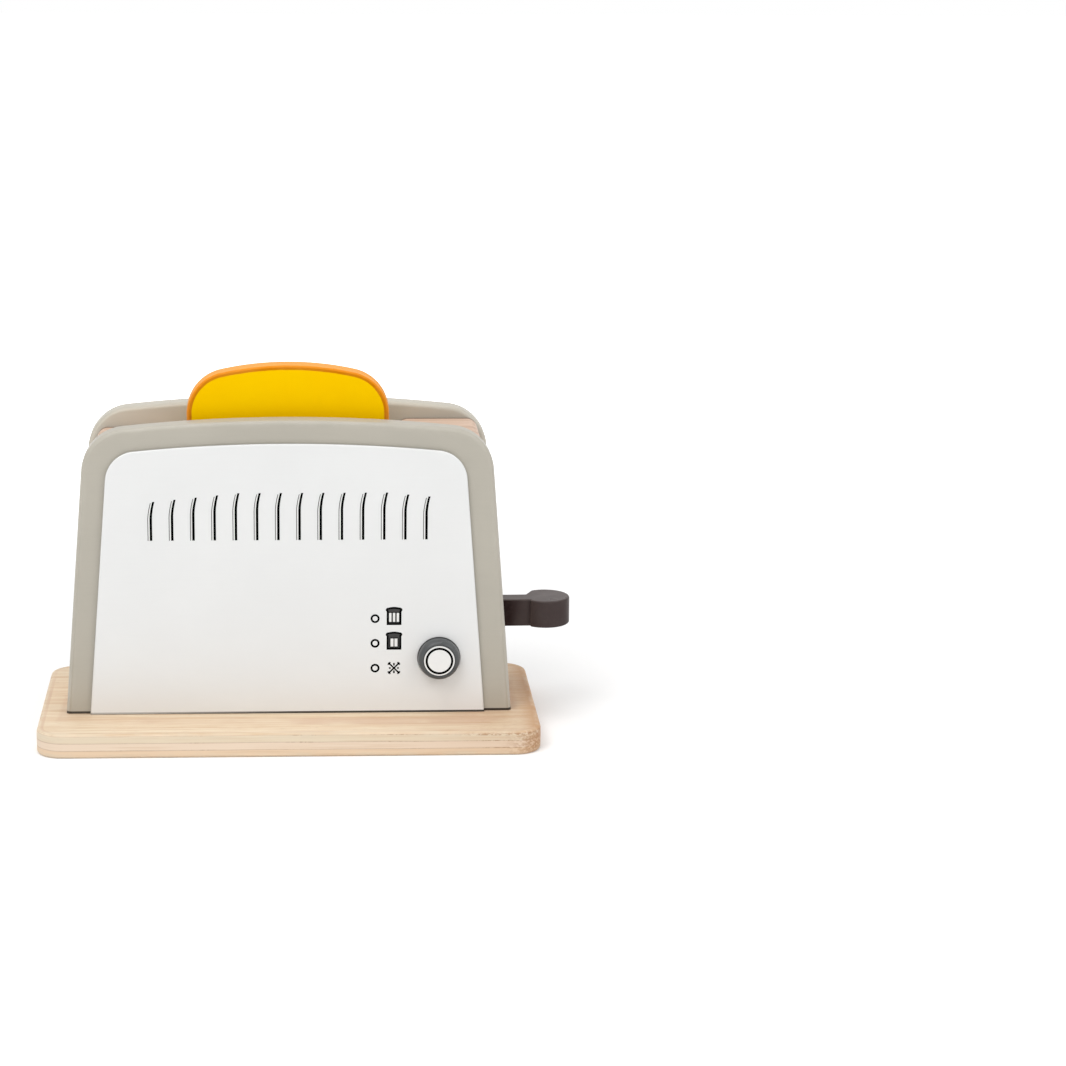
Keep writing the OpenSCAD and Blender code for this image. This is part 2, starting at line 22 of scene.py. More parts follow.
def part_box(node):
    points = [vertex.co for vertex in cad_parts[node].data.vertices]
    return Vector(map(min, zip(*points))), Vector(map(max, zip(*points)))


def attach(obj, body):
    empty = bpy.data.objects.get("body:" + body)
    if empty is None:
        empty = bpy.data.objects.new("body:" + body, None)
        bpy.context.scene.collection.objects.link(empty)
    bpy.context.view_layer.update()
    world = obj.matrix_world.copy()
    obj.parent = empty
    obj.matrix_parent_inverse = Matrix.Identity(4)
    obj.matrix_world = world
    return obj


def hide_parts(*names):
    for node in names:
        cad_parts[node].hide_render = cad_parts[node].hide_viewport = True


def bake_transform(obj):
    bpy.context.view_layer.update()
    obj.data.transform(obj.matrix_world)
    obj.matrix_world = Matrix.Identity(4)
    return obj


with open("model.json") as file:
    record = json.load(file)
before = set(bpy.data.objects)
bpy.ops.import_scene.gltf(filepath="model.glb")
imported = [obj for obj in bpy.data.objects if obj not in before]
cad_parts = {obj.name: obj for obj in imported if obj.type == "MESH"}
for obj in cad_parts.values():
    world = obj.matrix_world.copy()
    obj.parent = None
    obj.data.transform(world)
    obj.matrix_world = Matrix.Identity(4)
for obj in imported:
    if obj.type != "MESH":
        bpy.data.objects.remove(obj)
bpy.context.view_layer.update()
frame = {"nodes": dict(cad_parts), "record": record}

LOG = logging.getLogger("toaster")
MM = 0.001
QUARTER = math.pi / 2
UP = Vector((0.0, 0.0, 1.0))
INWARDS = Vector((0.0, 1.0, 0.0))
Point = tuple[float, float]
Triple = tuple[float, float, float]
Colour = Triple
Socket = bpy.types.NodeSocket
Node = bpy.types.Node
Thing = bpy.types.Object
Form = bmesh.types.BMesh
Faces = list[bmesh.types.BMFace]
Value = float | int | tuple | Socket
ZERO: Triple = (0.0, 0.0, 0.0)


# ---- node trees

class Graph:
    """Adds nodes to one tree and joins them."""

    def __init__(self, tree: bpy.types.NodeTree) -> None:
        """Remembers the shader or geometry tree that the nodes go into."""
        self.tree = tree

    @classmethod
    def emptied(cls, owner: bpy.types.Material | bpy.types.World) -> Graph:
        """Returns the graph of a material or a world, with its first nodes removed."""
        owner.use_nodes = True
        owner.node_tree.nodes.clear()
        return cls(owner.node_tree)

    def feed(self, socket: Socket, value: Value) -> None:
        """Links a socket to an input, or sets the input's own value.

        Args:
            socket: The input.
            value: An output socket, a number, a vector or a colour.
        """
        if isinstance(value, Socket):
            self.tree.links.new(value, socket)
        elif socket.type == "RGBA" and len(value) == 3:
            socket.default_value = (*value, 1.0)
        else:
            socket.default_value = value

    def add(self, kind: str, inputs: dict[str | int, Value] | None = None, **settings: object) -> Node:
        """Adds a node.

        Args:
            kind: The node's type name.
            inputs: What its inputs get, by name or by place.
            settings: Properties of the node.

        Returns:
            The node.
        """
        node = self.tree.nodes.new(kind)
        for name, value in settings.items():
            setattr(node, name, value)
        for key, value in (inputs or {}).items():
            self.feed(node.inputs[key], value)
        return node

    def math(self, operation: str, a: Value, b: Value = 0.0, clamp: bool = False) -> Socket:
        """Returns the result of a Math node on one or two numbers."""
        return self.add("ShaderNodeMath", {0: a, 1: b}, operation=operation, use_clamp=clamp).outputs[0]

    def product(self, first: Value, *factors: Value) -> Socket:
        """Returns the product of two or more numbers."""
        for factor in factors:
            first = self.math("MULTIPLY", first, factor)
        return first

    def off(self, value: Value, level: Value) -> Socket:
        """Returns how far a number lies from a level, either way."""
        return self.math("ABSOLUTE", self.math("SUBTRACT", value, level))

    def vector(self, operation: str, a: Value, b: Value = ZERO) -> Socket:
        """Returns the result of a Vector Math node."""
        return self.add("ShaderNodeVectorMath", {0: a, 1: b}, operation=operation).outputs[0]

    def length(self, vector: Value) -> Socket:
        """Returns a vector's length."""
        return self.add("ShaderNodeVectorMath", {0: vector}, operation="LENGTH").outputs["Value"]

    def apart(self, vector: Value) -> list[Socket]:
        """Returns a vector's X, Y and Z."""
        return list(self.add("ShaderNodeSeparateXYZ", {0: vector}).outputs)

    def joined(self, x: Value = 0.0, y: Value = 0.0, z: Value = 0.0) -> Socket:
        """Returns the vector with that X, Y and Z."""
        return self.add("ShaderNodeCombineXYZ", {0: x, 1: y, 2: z}).outputs[0]

    def normal(self) -> list[Socket]:
        """Returns the X, Y and Z of the surface's normal."""
        return self.apart(self.add("ShaderNodeNewGeometry").outputs["Normal"])

    def ramp(self, value: Value, low: float, high: float, out_low: float = 0.0,
             out_high: float = 1.0) -> Socket:
        """Maps a number smoothly from one range to another.

        Args:
            value: The number.
            low: Where the change starts.
            high: Where it ends.
            out_low: The result up to low.
            out_high: The result from high on.

        Returns:
            The mapped number.
        """
        inputs = {"Value": value, "From Min": low, "From Max": high, "To Min": out_low, "To Max": out_high}
        return self.add("ShaderNodeMapRange", inputs, interpolation_type="SMOOTHSTEP").outputs[0]

    def blend(self, factor: Value, a: Value, b: Value, mode: str = "MIX") -> Socket:
        """Mixes two colours.

        Args:
            factor: The share of the second colour.
            a: The first colour.
            b: The second colour.
            mode: How they are mixed.

        Returns:
            The mixed colour.
        """
        node = self.add("ShaderNodeMix", {0: factor}, data_type="RGBA", blend_type=mode)
        self.feed(node.inputs[6], a)
        self.feed(node.inputs[7], b)
        return node.outputs[2]

    def noise(self, vector: Value, scale: Value, detail: float = 2.0, roughness: float = 0.5,
              stretch: Triple | None = None) -> Socket:
        """Returns a noise value from 0 to 1.

        Args:
            vector: The coordinates.
            scale: How many lumps there are in a metre.
            detail: How many finer layers are added.
            roughness: How strong the finer layers are.
            stretch: What the coordinates are multiplied by first; a small number draws lumps out.

        Returns:
            The value.
        """
        if stretch:
            vector = self.vector("MULTIPLY", vector, stretch)
        inputs = {"Vector": vector, "Scale": scale, "Detail": detail, "Roughness": roughness}
        return self.add("ShaderNodeTexNoise", inputs).outputs["Fac"]

    def waves(self, value: Value, length: Value, low: float, high: float, strength: float = 1.0) -> Socket:
        """Returns soft stripes across a number, one for each length.

        Args:
            value: The number.
            length: The distance from one stripe to the next.
            low: The height on the wave, from -1, at which a stripe starts.
            high: The height at which it is full.
            strength: The value of a full stripe.

        Returns:
            The stripes.
        """
        turns = self.product(self.math("DIVIDE", value, length), math.tau)
        return self.ramp(self.math("SINE", turns), low, high, 0.0, strength)

    def object_point(self, turn: Triple = ZERO) -> Socket:
        """Returns the point's place on the piece, turned so that a pattern can run along any axis."""
        coordinates = self.add("ShaderNodeTexCoord").outputs["Object"]
        if not any(turn):
            return coordinates
        return self.add("ShaderNodeMapping", {"Vector": coordinates, "Rotation": turn}).outputs[0]

    def attribute(self, name: str) -> Socket:
        """Returns a number that the mesh stores at its points."""
        return self.add("ShaderNodeAttribute", attribute_name=name).outputs["Fac"]

    def group(self, tree: bpy.types.NodeTree, inputs: dict[str, Value]) -> Node:
        """Places a node group with its own input values."""
        return self.add(self.tree.bl_idname.replace("Tree", "Group"), inputs, node_tree=tree)


class SocketKind(Enum):
    """Kinds of socket on a group's outside."""

    NUMBER = "NodeSocketFloat"
    COUNT = "NodeSocketInt"
    VECTOR = "NodeSocketVector"
    GEOMETRY = "NodeSocketGeometry"
    MATERIAL = "NodeSocketMaterial"
    OBJECT = "NodeSocketObject"


def new_group(name: str, kind: str, inputs: dict[str, SocketKind], outputs: dict[str, SocketKind]) -> tuple:
    """Makes a node group with named sockets.

    Args:
        name: The group's name.
        kind: ShaderNodeTree or GeometryNodeTree.
        inputs: Names and kinds of its inputs.
        outputs: Names and kinds of its outputs.

    Returns:
        The tree, a Graph on it, its input node and its output node.
    """
    tree = bpy.data.node_groups.new(name, kind)
    for label, socket in inputs.items():
        tree.interface.new_socket(label, in_out="INPUT", socket_type=socket.value)
    for label, socket in outputs.items():
        tree.interface.new_socket(label, in_out="OUTPUT", socket_type=socket.value)
    graph = Graph(tree)
    return tree, graph, graph.add("NodeGroupInput"), graph.add("NodeGroupOutput")


def effect_group(name: str, numbers: Sequence[str], results: Sequence[str]) -> tuple:
    """Makes a shader group that reads a vector and some numbers, and puts out numbers.

    Args:
        name: The group's name.
        numbers: Names of its inputs, after Vector.
        results: Names of its outputs.

    Returns:
        What new_group returns.
    """
    inputs = {"Vector": SocketKind.VECTOR, **dict.fromkeys(numbers, SocketKind.NUMBER)}
    return new_group(name, "ShaderNodeTree", inputs, dict.fromkeys(results, SocketKind.NUMBER))


# ---- shared surface effects

class Effects:
    """The shader groups that several finishes share, each built once."""

    @staticmethod
    @cache
    def grain() -> bpy.types.NodeTree:
        """Wood grain along X: wandering rings, broad streaks, fine fibres and short dark pores."""
        tree, graph, inside, outside = effect_group(
            "wood_grain", ("Ring Width", "Wander", "Fibre Scale", "Pore Share"),
            ("Rings", "Streaks", "Fibres", "Pores", "Height"),
        )
        vector, ring_width, wander, fibre_scale, pore_share = inside.outputs[:5]
        slow = graph.noise(vector, 42.0, 3.0, stretch=(0.22, 1.0, 1.0))
        shift = graph.product(graph.math("SUBTRACT", slow, 0.5), wander)
        _, y, z = graph.apart(vector)
        across = graph.math("ADD", y, graph.product(z, 0.7))
        rings = graph.waves(graph.math("ADD", across, shift), ring_width, -0.9, 1.0)
        streaks = graph.noise(vector, 430.0, 4.0, 0.6, stretch=(0.025, 1.0, 1.0))
        fibres = graph.noise(vector, fibre_scale, 4.0, 0.62, stretch=(0.05, 1.0, 1.0))
        speck = graph.noise(vector, graph.product(fibre_scale, 1.9), 1.0, stretch=(0.09, 1.0, 1.0))
        pores = graph.add("ShaderNodeMapRange", {
            "Value": speck, "From Min": graph.math("SUBTRACT", 0.78, pore_share),
            "From Max": graph.math("SUBTRACT", 0.86, pore_share),
        }).outputs[0]
        height = graph.math("SUBTRACT", graph.product(fibres, 0.6), graph.product(pores, 0.5))
        for name, result in zip(outside.inputs.keys(), (rings, streaks, fibres, pores, height)):
            graph.feed(outside.inputs[name], result)
        return tree

    @staticmethod
    @cache
    def wear() -> bpy.types.NodeTree:
        """A broken mask along the rounded edges, from the mesh's edge attribute."""
        tree, graph, inside, outside = effect_group("edge_wear", ("Edge", "Amount"), ("Mask",))
        vector, edge, amount = inside.outputs[:3]
        broken = graph.ramp(graph.noise(vector, 85.0, 4.0, 0.65), 0.36, 0.68)
        graph.feed(outside.inputs["Mask"], graph.product(graph.ramp(edge, 0.35, 1.0), broken, amount))
        return tree

    @staticmethod
    @cache
    def film() -> bpy.types.NodeTree:
        """A sprayed or brushed film: slow thickness changes, smudges and a fine orange peel."""
        tree, graph, inside, outside = effect_group(
            "paint_film", ("Peel Scale",), ("Thickness", "Smudges", "Height")
        )
        vector, peel_scale = inside.outputs[:2]
        elsewhere = graph.vector("ADD", vector, (0.31, 0.17, 0.23))
        graph.feed(outside.inputs["Thickness"], graph.noise(vector, 24.0, 3.0, 0.55))
        graph.feed(outside.inputs["Smudges"], graph.noise(elsewhere, 60.0, 5.0, 0.6))
        graph.feed(outside.inputs["Height"], graph.noise(vector, peel_scale, 2.0, 0.45))
        return tree


def toned(colour: Colour, share: float) -> Colour:
    """Returns a colour made darker or paler by a share."""
    return tuple(min(1.0, share * part) for part in colour)


# ---- finishes

@dataclass(frozen=True)
class Finish:
    """What every finish has: a name and a way to build its material once."""

    name: str

    def material(self) -> bpy.types.Material:
        """Returns the finish's material, and builds it the first time."""
        made = bpy.data.materials.get(self.name + "_finish")
        if made is None:
            made = bpy.data.materials.new(self.name + "_finish")
            graph = Graph.emptied(made)
            shader = graph.add("ShaderNodeBsdfPrincipled")
            graph.add("ShaderNodeOutputMaterial", {"Surface": shader.outputs[0]})
            self.paint(graph, shader)
        return made

    def paint(self, graph: Graph, shader: Node) -> None:
        """Feeds the shader; each finish has its own."""
        raise NotImplementedError

    @staticmethod
    def bump(graph: Graph, shader: Node, height: Value, distance: float,
             strength: float = 1.0) -> None:
        """Gives the shader a relief.

        Args:
            graph: The material's graph.
            shader: Its shader.
            height: The relief, from 0 to 1.
            distance: How deep 1 is, in metres.
            strength: How much of the relief shows.
        """
        node = graph.add("ShaderNodeBump", {"Height": height, "Distance": distance, "Strength": strength})
        graph.feed(shader.inputs["Normal"], node.outputs[0])

    @staticmethod
    def dull(graph: Graph, shader: Node, value: Value, low: float, high: float,
             full: float = 0.7) -> None:
        """Lets the roughness follow a noise value.

        Args:
            graph: The material's graph.
            shader: Its shader.
            value: The noise value.
            low: The roughness where the value is 0.3 or less.
            high: The roughness where it is full or more.
            full: The value at which high is reached.
        """
        graph.feed(shader.inputs["Roughness"], graph.ramp(value, 0.3, full, low, high))

    @staticmethod
    def rubbed(graph: Graph, point: Socket, amount: float) -> Socket:
        """Returns where the piece's rounded edges are rubbed."""
        inputs = {"Edge": graph.attribute("edge"), "Vector": point, "Amount": amount}
        return graph.group(Effects.wear(), inputs).outputs["Mask"]


@dataclass(frozen=True)
class BareWood(Finish):
    """Sanded wood under a thin matt lacquer, with its grain along a chosen axis."""

    light: Colour
    dark: Colour
    turn: Triple = ZERO
    ring_width: float = 7.0 * MM
    wander: float = 9.0 * MM
    fibre_scale: float = 1500.0
    pore_share: float = 0.07
    ring_strength: float = 0.45
    streak_strength: float = 0.0
    roughness: float = 0.52

    def tone(self, graph: Graph, grain: Node) -> Socket:
        """Returns the wood's colour from its grain."""
        fibres = graph.ramp(grain.outputs["Fibres"], 0.3, 0.72, 0.0, 0.45)
        streaks = graph.ramp(grain.outputs["Streaks"], 0.42, 0.66, 0.0, self.streak_strength)
        rings = graph.product(grain.outputs["Rings"], self.ring_strength)
        share = graph.math("ADD", rings, graph.math("ADD", fibres, streaks), clamp=True)
        colour = graph.blend(share, self.light, self.dark)
        return graph.blend(graph.product(grain.outputs["Pores"], 0.6), colour, toned(self.dark, 0.62))

    def grain(self, graph: Graph) -> Node:
        """Places the shared grain with this wood's sizes."""
        return graph.group(Effects.grain(), {
            "Vector": graph.object_point(self.turn), "Ring Width": self.ring_width, "Wander": self.wander,
            "Fibre Scale": self.fibre_scale, "Pore Share": self.pore_share,
        })

    def paint(self, graph: Graph, shader: Node) -> None:
        """Wood colour, a roughness that follows the fibres, and a fine relief."""
        grain = self.grain(graph)
        graph.feed(shader.inputs["Base Color"], self.tone(graph, grain))
        self.dull(graph, shader, grain.outputs["Fibres"], self.roughness - 0.06, self.roughness + 0.1)
        self.bump(graph, shader, grain.outputs["Height"], 0.09 * MM, 0.6)


@dataclass(frozen=True)
class JointedWood(BareWood):
    """Bare wood with growth rings on its sawn ends, and a painted shadow line where it meets the boards."""

    neighbour: str = "right_top_block"
    joint_shade_width: float = 2.2 * MM
    joint_shade_colour: Colour = (0.13, 0.075, 0.045)
    pith: Triple = (0.0, -14.0 * MM, 72.0 * MM)
    end_ring_width: float = 2.6 * MM
    end_wander: float = 5.0 * MM

    def _end_tone(self, graph: Graph, point: Socket) -> Socket:
        """Returns the colour of a sawn end: arcs round a pith below it, with fine dark pores."""
        across = graph.vector("MULTIPLY", graph.vector("SUBTRACT", point, self.pith), (0.0, 1.0, 1.0))
        shake = graph.product(graph.math("SUBTRACT", graph.noise(point, 60.0, 2.0), 0.5), self.end_wander)
        away = graph.math("ADD", graph.length(across), shake)
        rings = graph.waves(away, self.end_ring_width, -0.3, 1.0, 0.5)
        pores = graph.ramp(graph.noise(point, 1500.0, 1.0), 0.6, 0.72, 0.0, 0.4)
        return graph.blend(graph.math("ADD", rings, pores, clamp=True), self.light, self.dark)

    def tone(self, graph: Graph, grain: Node) -> Socket:
        """Returns the wood's colour with its sawn ends and the painted shadow lines at the joints."""
        low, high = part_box(self.neighbour)
        point = graph.object_point()
        off = graph.off(graph.apart(point)[1], (low.y + high.y) / 2)
        edge = (high.y - low.y) / 2
        # painted shade: a brown line along the joint with the boards, for the shadow in the gap
        joint = graph.ramp(off, edge - self.joint_shade_width, edge - 0.8 * self.joint_shade_width, 0.0, 0.85)
        sawn = graph.ramp(graph.math("ABSOLUTE", graph.normal()[0]), 0.6, 0.9)
        wood = graph.blend(sawn, super().tone(graph, grain), self._end_tone(graph, point))
        return graph.blend(joint, wood, self.joint_shade_colour)


@dataclass(frozen=True)
class LayeredPly(BareWood):
    """Ply with its layers and glue lines on the edges, a darker figure at one end, and painted shade under
    the boards and along its lowest edge.
    """

    layers: tuple[tuple[float, Colour], ...] = (
        (3.0 * MM, (0.79, 0.60, 0.42)), (5.8 * MM, (0.81, 0.655, 0.51)), (8.5 * MM, (0.77, 0.65, 0.485)),
        (9.4 * MM, (0.79, 0.62, 0.47)),
    )
    glue_half: float = 0.17 * MM
    glue_wander: float = 0.6 * MM
    glue_colour: Colour = (0.42, 0.26, 0.165)
    # painted shade: the glue colour along the lowest edge, up to this height, stands for the shadow at the
    # floor
    foot_line: float = 0.85 * MM
    rim_colour: Colour = (0.58, 0.37, 0.25)
    rim_inset: float = 1.9 * MM
    rim_half: float = 0.9 * MM
    figure_colour: Colour = (0.40, 0.19, 0.075)
    figure_scale: float = 950.0
    speck_colour: Colour = (0.86, 0.74, 0.55)
    end_colour: Colour = (0.52, 0.29, 0.14)
    tone_from: float = 10.0 * MM
    band_level: float = 8.6 * MM
    band_half: float = 1.1 * MM
    band_from: float = 59.0 * MM
    band_to: float = 75.0 * MM
    figure_from: float = 77.0 * MM
    corner_from: float = 86.0 * MM
    figure_to: float = 95.0 * MM
    # painted shade: the base is dark where the boards and the panel stand on it, and shows as a shadow line
    # at their feet
    joint_shade_colour: Colour = (0.03, 0.018, 0.012)
    covered_by: tuple[str, ...] = ("front_panel", "front_board", "back_board")
    cover_inset: float = 0.9 * MM

    def _layered(self, graph: Graph, point: Socket, level: Socket) -> Socket:
        """Returns the colour of the edges: pale layers with broken glue lines between them, and painted shade
        along the foot.
        """
        drift = graph.noise(point, 26.0, 3.0, stretch=(1.0, 1.0, 0.0))
        shift = graph.product(graph.math("SUBTRACT", drift, 0.5), self.glue_wander)
        wavy = graph.math("ADD", level, shift)
        edge = self.layers[0][1]
        for (glue, _), (_, colour) in zip(self.layers, self.layers[1:]):
            edge = graph.blend(graph.ramp(wavy, glue - 0.1 * MM, glue + 0.1 * MM), edge, colour)
        lines = graph.noise(point, 900.0, 3.0, 0.6, stretch=(0.03, 0.03, 1.0))
        edge = graph.blend(graph.ramp(lines, 0.45, 0.72, 0.0, 0.4), edge, self.dark)
        dots = graph.ramp(graph.noise(point, 520.0, 3.0, 0.7, stretch=(1.0, 1.0, 0.3)), 0.42, 0.62)
        stretches = graph.ramp(graph.noise(point, 34.0, 2.0), 0.46, 0.66, 0.08, 0.85)
        broken = graph.math("ADD", graph.product(dots, stretches), 0.34, clamp=True)
        for glue, _ in self.layers[:-1]:
            line = graph.ramp(graph.off(wavy, glue), 0.4 * self.glue_half, 1.5 * self.glue_half, 1.0, 0.0)
            edge = graph.blend(graph.product(line, broken), edge, self.glue_colour)
        # painted shade where the base meets the floor
        foot = graph.ramp(level, 0.2 * MM, self.foot_line, 0.8, 0.0)
        return graph.blend(foot, edge, self.glue_colour)

    def _shade_under_boards(self, graph: Graph, along: Socket, across: Socket) -> Value:
        """Returns 1 where a board or the panel stands on the base, and 0 elsewhere; shade is painted there.
        """
        covered = 0.0
        for node in self.covered_by:
            low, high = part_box(node)
            past_x = graph.math("SUBTRACT", graph.off(along, (low.x + high.x) / 2), (high.x - low.x) / 2)
            past_y = graph.math("SUBTRACT", graph.off(across, (low.y + high.y) / 2), (high.y - low.y) / 2)
            past = graph.math("MAXIMUM", past_x, past_y)
            under = graph.ramp(past, -self.cover_inset, 0.2 * MM - self.cover_inset, 1.0, 0.0)
            covered = graph.math("MAXIMUM", under, covered)
        return covered

    def _faced(self, graph: Graph, point: Socket, grain: Node) -> Socket:
        """Returns the colour of the level faces: veneer, its broken rim, and painted shade under the boards
        and the panel.
        """
        along, across, _ = graph.apart(point)
        from_rim = graph.off(graph.attribute("inset"), self.rim_inset)
        rim = graph.ramp(from_rim, 0.3 * MM, self.rim_half, 1.0, 0.0)
        patches = graph.ramp(graph.noise(point, 40.0, 3.0), 0.42, 0.64, 0.14, 0.55)
        face = graph.blend(graph.product(rim, patches), self.tone(graph, grain), self.rim_colour)
        # painted shade under the boards and the panel
        return graph.blend(self._shade_under_boards(graph, along, across), face, self.joint_shade_colour)

    def _stained(self, graph: Graph, point: Socket, upright: Socket, colour: Socket) -> tuple[Socket, Socket]:
        """Adds the darker right end: its deeper tone, and brown stains with pale specks.

        Args:
            graph: The material's graph.
            point: The point on the piece.
            upright: 1 on upright faces and 0 on level ones.
            colour: The colour so far.

        Returns:
            The colour, and how much of a stain there is.
        """
        along, _, level = graph.apart(point)
        figure = graph.noise(point, self.figure_scale, 5.0, 0.7, stretch=(0.5, 1.0, 1.2))
        at_end = graph.ramp(along, self.figure_from, self.figure_to, 0.0, 0.7)
        band = graph.ramp(graph.off(level, self.band_level), 0.4 * MM, self.band_half, 0.9, 0.0)
        band = graph.product(band, graph.ramp(along, self.band_from, self.band_to))
        sides = graph.ramp(upright, 0.2, 0.8, 0.15, 1.0)
        reach = graph.product(graph.math("MAXIMUM", at_end, band), sides)
        stains = graph.product(graph.ramp(figure, 0.45, 0.56), reach)
        specks = graph.product(graph.ramp(figure, 0.44, 0.38), reach, 0.55)
        deeper = graph.math(
            "ADD", graph.ramp(along, self.tone_from, self.figure_to, 0.0, 0.22),
            graph.ramp(along, self.corner_from, self.figure_to, 0.0, 0.75),
        )
        colour = graph.blend(deeper, colour, self.end_colour)
        colour = graph.blend(stains, colour, self.figure_colour)
        return graph.blend(specks, colour, self.speck_colour), stains

    def paint(self, graph: Graph, shader: Node) -> None:
        """The face veneer above, the layers on the sides, and the stains at the right end."""
        point = graph.object_point()
        upright = graph.math("SUBTRACT", 1.0, graph.math("ABSOLUTE", graph.normal()[2]))
        grain = self.grain(graph)
        edge = self._layered(graph, point, graph.apart(point)[2])
        colour = graph.blend(graph.ramp(upright, 0.25, 0.75), self._faced(graph, point, grain), edge)
        colour, stains = self._stained(graph, point, upright, colour)
        colour = graph.blend(self.rubbed(graph, point, 0.45), colour, toned(self.light, 0.86))
        graph.feed(shader.inputs["Base Color"], colour)
        self.dull(graph, shader, grain.outputs["Fibres"], self.roughness - 0.05, self.roughness + 0.1)
        height = graph.math("SUBTRACT", grain.outputs["Height"], graph.product(stains, 0.3))
        self.bump(graph, shader, height, 0.10 * MM, 0.65)


@dataclass(frozen=True)
class Paint(Finish):
    """A satin film over wood, whose grain shows through a little, rubbed thin along the edges."""

    colour: Colour
    variation: float = 0.04
    roughness: float = 0.42
    wear: float = 0.5
    wear_colour: Colour = (0.62, 0.57, 0.50)
    grain_width: float = 8.0 * MM
    grain_show: float = 0.35
    peel_scale: float = 900.0
    relief: float = 0.05 * MM
    specular: float = 0.5
    # painted shade: the foot line, its colour and its strength paint the shadow where the piece stands on the
    # base
    foot_level: float = 0.0
    foot_shadow_colour: Colour = (0.022, 0.014, 0.009)
    foot_left_strength: float = 0.45
    foot_full_from: float = 10.0 * MM
    foot_weak_to: float = -70.0 * MM
    # painted light: the side that faces forward is made paler towards the left, where shade falls on it
    inner_light: float = 0.0
    fade_reach: float = 60.0 * MM
    # painted shade: a dark line deep on the front's rounded edge, for the shadow in the joint behind it
    rim_node: str = ""
    rim_depth: float = 0.3 * MM
    rim_colour: Colour = (0.15, 0.14, 0.12)

    def _rim_shade(self, graph: Graph, point: Socket, colour: Socket) -> Socket:
        """Paints shade on the deep part of the front's rounded edge, where the joint begins, as in a groove.
        """
        depth = graph.math("SUBTRACT", graph.apart(point)[1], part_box(self.rim_node)[0].y)
        share = graph.ramp(depth, 0.7 * self.rim_depth, 1.3 * self.rim_depth, 0.0, 0.65)
        return graph.blend(share, colour, self.rim_colour)

    def _inner_painted_light(self, graph: Graph, point: Socket) -> Socket:
        """Returns the painted light on the side that faces forward: how much paler it is, more so towards the
        left.
        """
        forward = graph.ramp(graph.normal()[1], -0.95, -0.7, 1.0, 0.0)
        along = graph.apart(point)[0]
        fade = graph.ramp(along, -self.fade_reach, self.fade_reach, self.inner_light, -0.4 * self.inner_light)
        return graph.math("ADD", 1.0, graph.product(forward, fade))

    def _painted_foot_shadow(self, graph: Graph, point: Socket, colour: Socket) -> Socket:
        """Paints a shadow line along the piece's foot, where it stands on the base, darker towards the right.
        """
        along, _, level = graph.apart(point)
        line = graph.ramp(level, self.foot_level - 0.1 * MM, self.foot_level + 0.1 * MM, 0.95, 0.0)
        strength = graph.ramp(along, self.foot_weak_to, self.foot_full_from, self.foot_left_strength, 1.0)
        return graph.blend(graph.product(line, strength), colour, self.foot_shadow_colour)

    def film_colour(self, graph: Graph, point: Socket) -> Value:
        """Returns the film's own colour; a finish with a pattern has its own."""
        return self.colour

    def _tinted(self, graph: Graph, point: Socket, thickness: Socket, fibres: Socket) -> Socket:
        """Returns the film's colour with its slow changes and the grain that shows through."""
        shade = graph.ramp(thickness, 0.3, 0.7, 1.0 - self.variation, 1.0 + self.variation)
        tint = graph.product(shade, graph.ramp(fibres, 0.3, 0.75, 1.0, 1.0 - 0.5 * self.variation))
        # painted light on the forward face
        if self.inner_light:
            tint = graph.product(tint, self._inner_painted_light(graph, point))
        grey = graph.add("ShaderNodeCombineColor", {0: tint, 1: tint, 2: tint}).outputs[0]
        return graph.blend(1.0, self.film_colour(graph, point), grey, "MULTIPLY")

    def paint(self, graph: Graph, shader: Node) -> None:
        """Film colour with slow changes, edge wear, smudges in the gloss, and telegraphed grain."""
        point = graph.object_point()
        film = graph.group(Effects.film(), {"Vector": point, "Peel Scale": self.peel_scale})
        grain = graph.group(Effects.grain(), {
            "Vector": point, "Ring Width": self.grain_width, "Wander": self.grain_width,
            "Fibre Scale": 1100.0, "Pore Share": 0.02,
        })
        colour = self._tinted(graph, point, film.outputs["Thickness"], grain.outputs["Fibres"])
        colour = graph.blend(self.rubbed(graph, point, self.wear), colour, self.wear_colour)
        # painted shade along the joint at the rim
        if self.rim_node:
            colour = self._rim_shade(graph, point, colour)
        # painted shadow line along the foot
        if self.foot_level > 0.0:
            colour = self._painted_foot_shadow(graph, point, colour)
        graph.feed(shader.inputs["Base Color"], colour)
        self.dull(graph, shader, film.outputs["Smudges"], self.roughness - 0.05, self.roughness + 0.08, 0.72)
        shader.inputs["Specular IOR Level"].default_value = self.specular
        telegraphed = graph.product(grain.outputs["Height"], self.grain_show)
        height = graph.math("ADD", graph.product(film.outputs["Height"], 0.5), telegraphed)
        self.bump(graph, shader, height, self.relief)


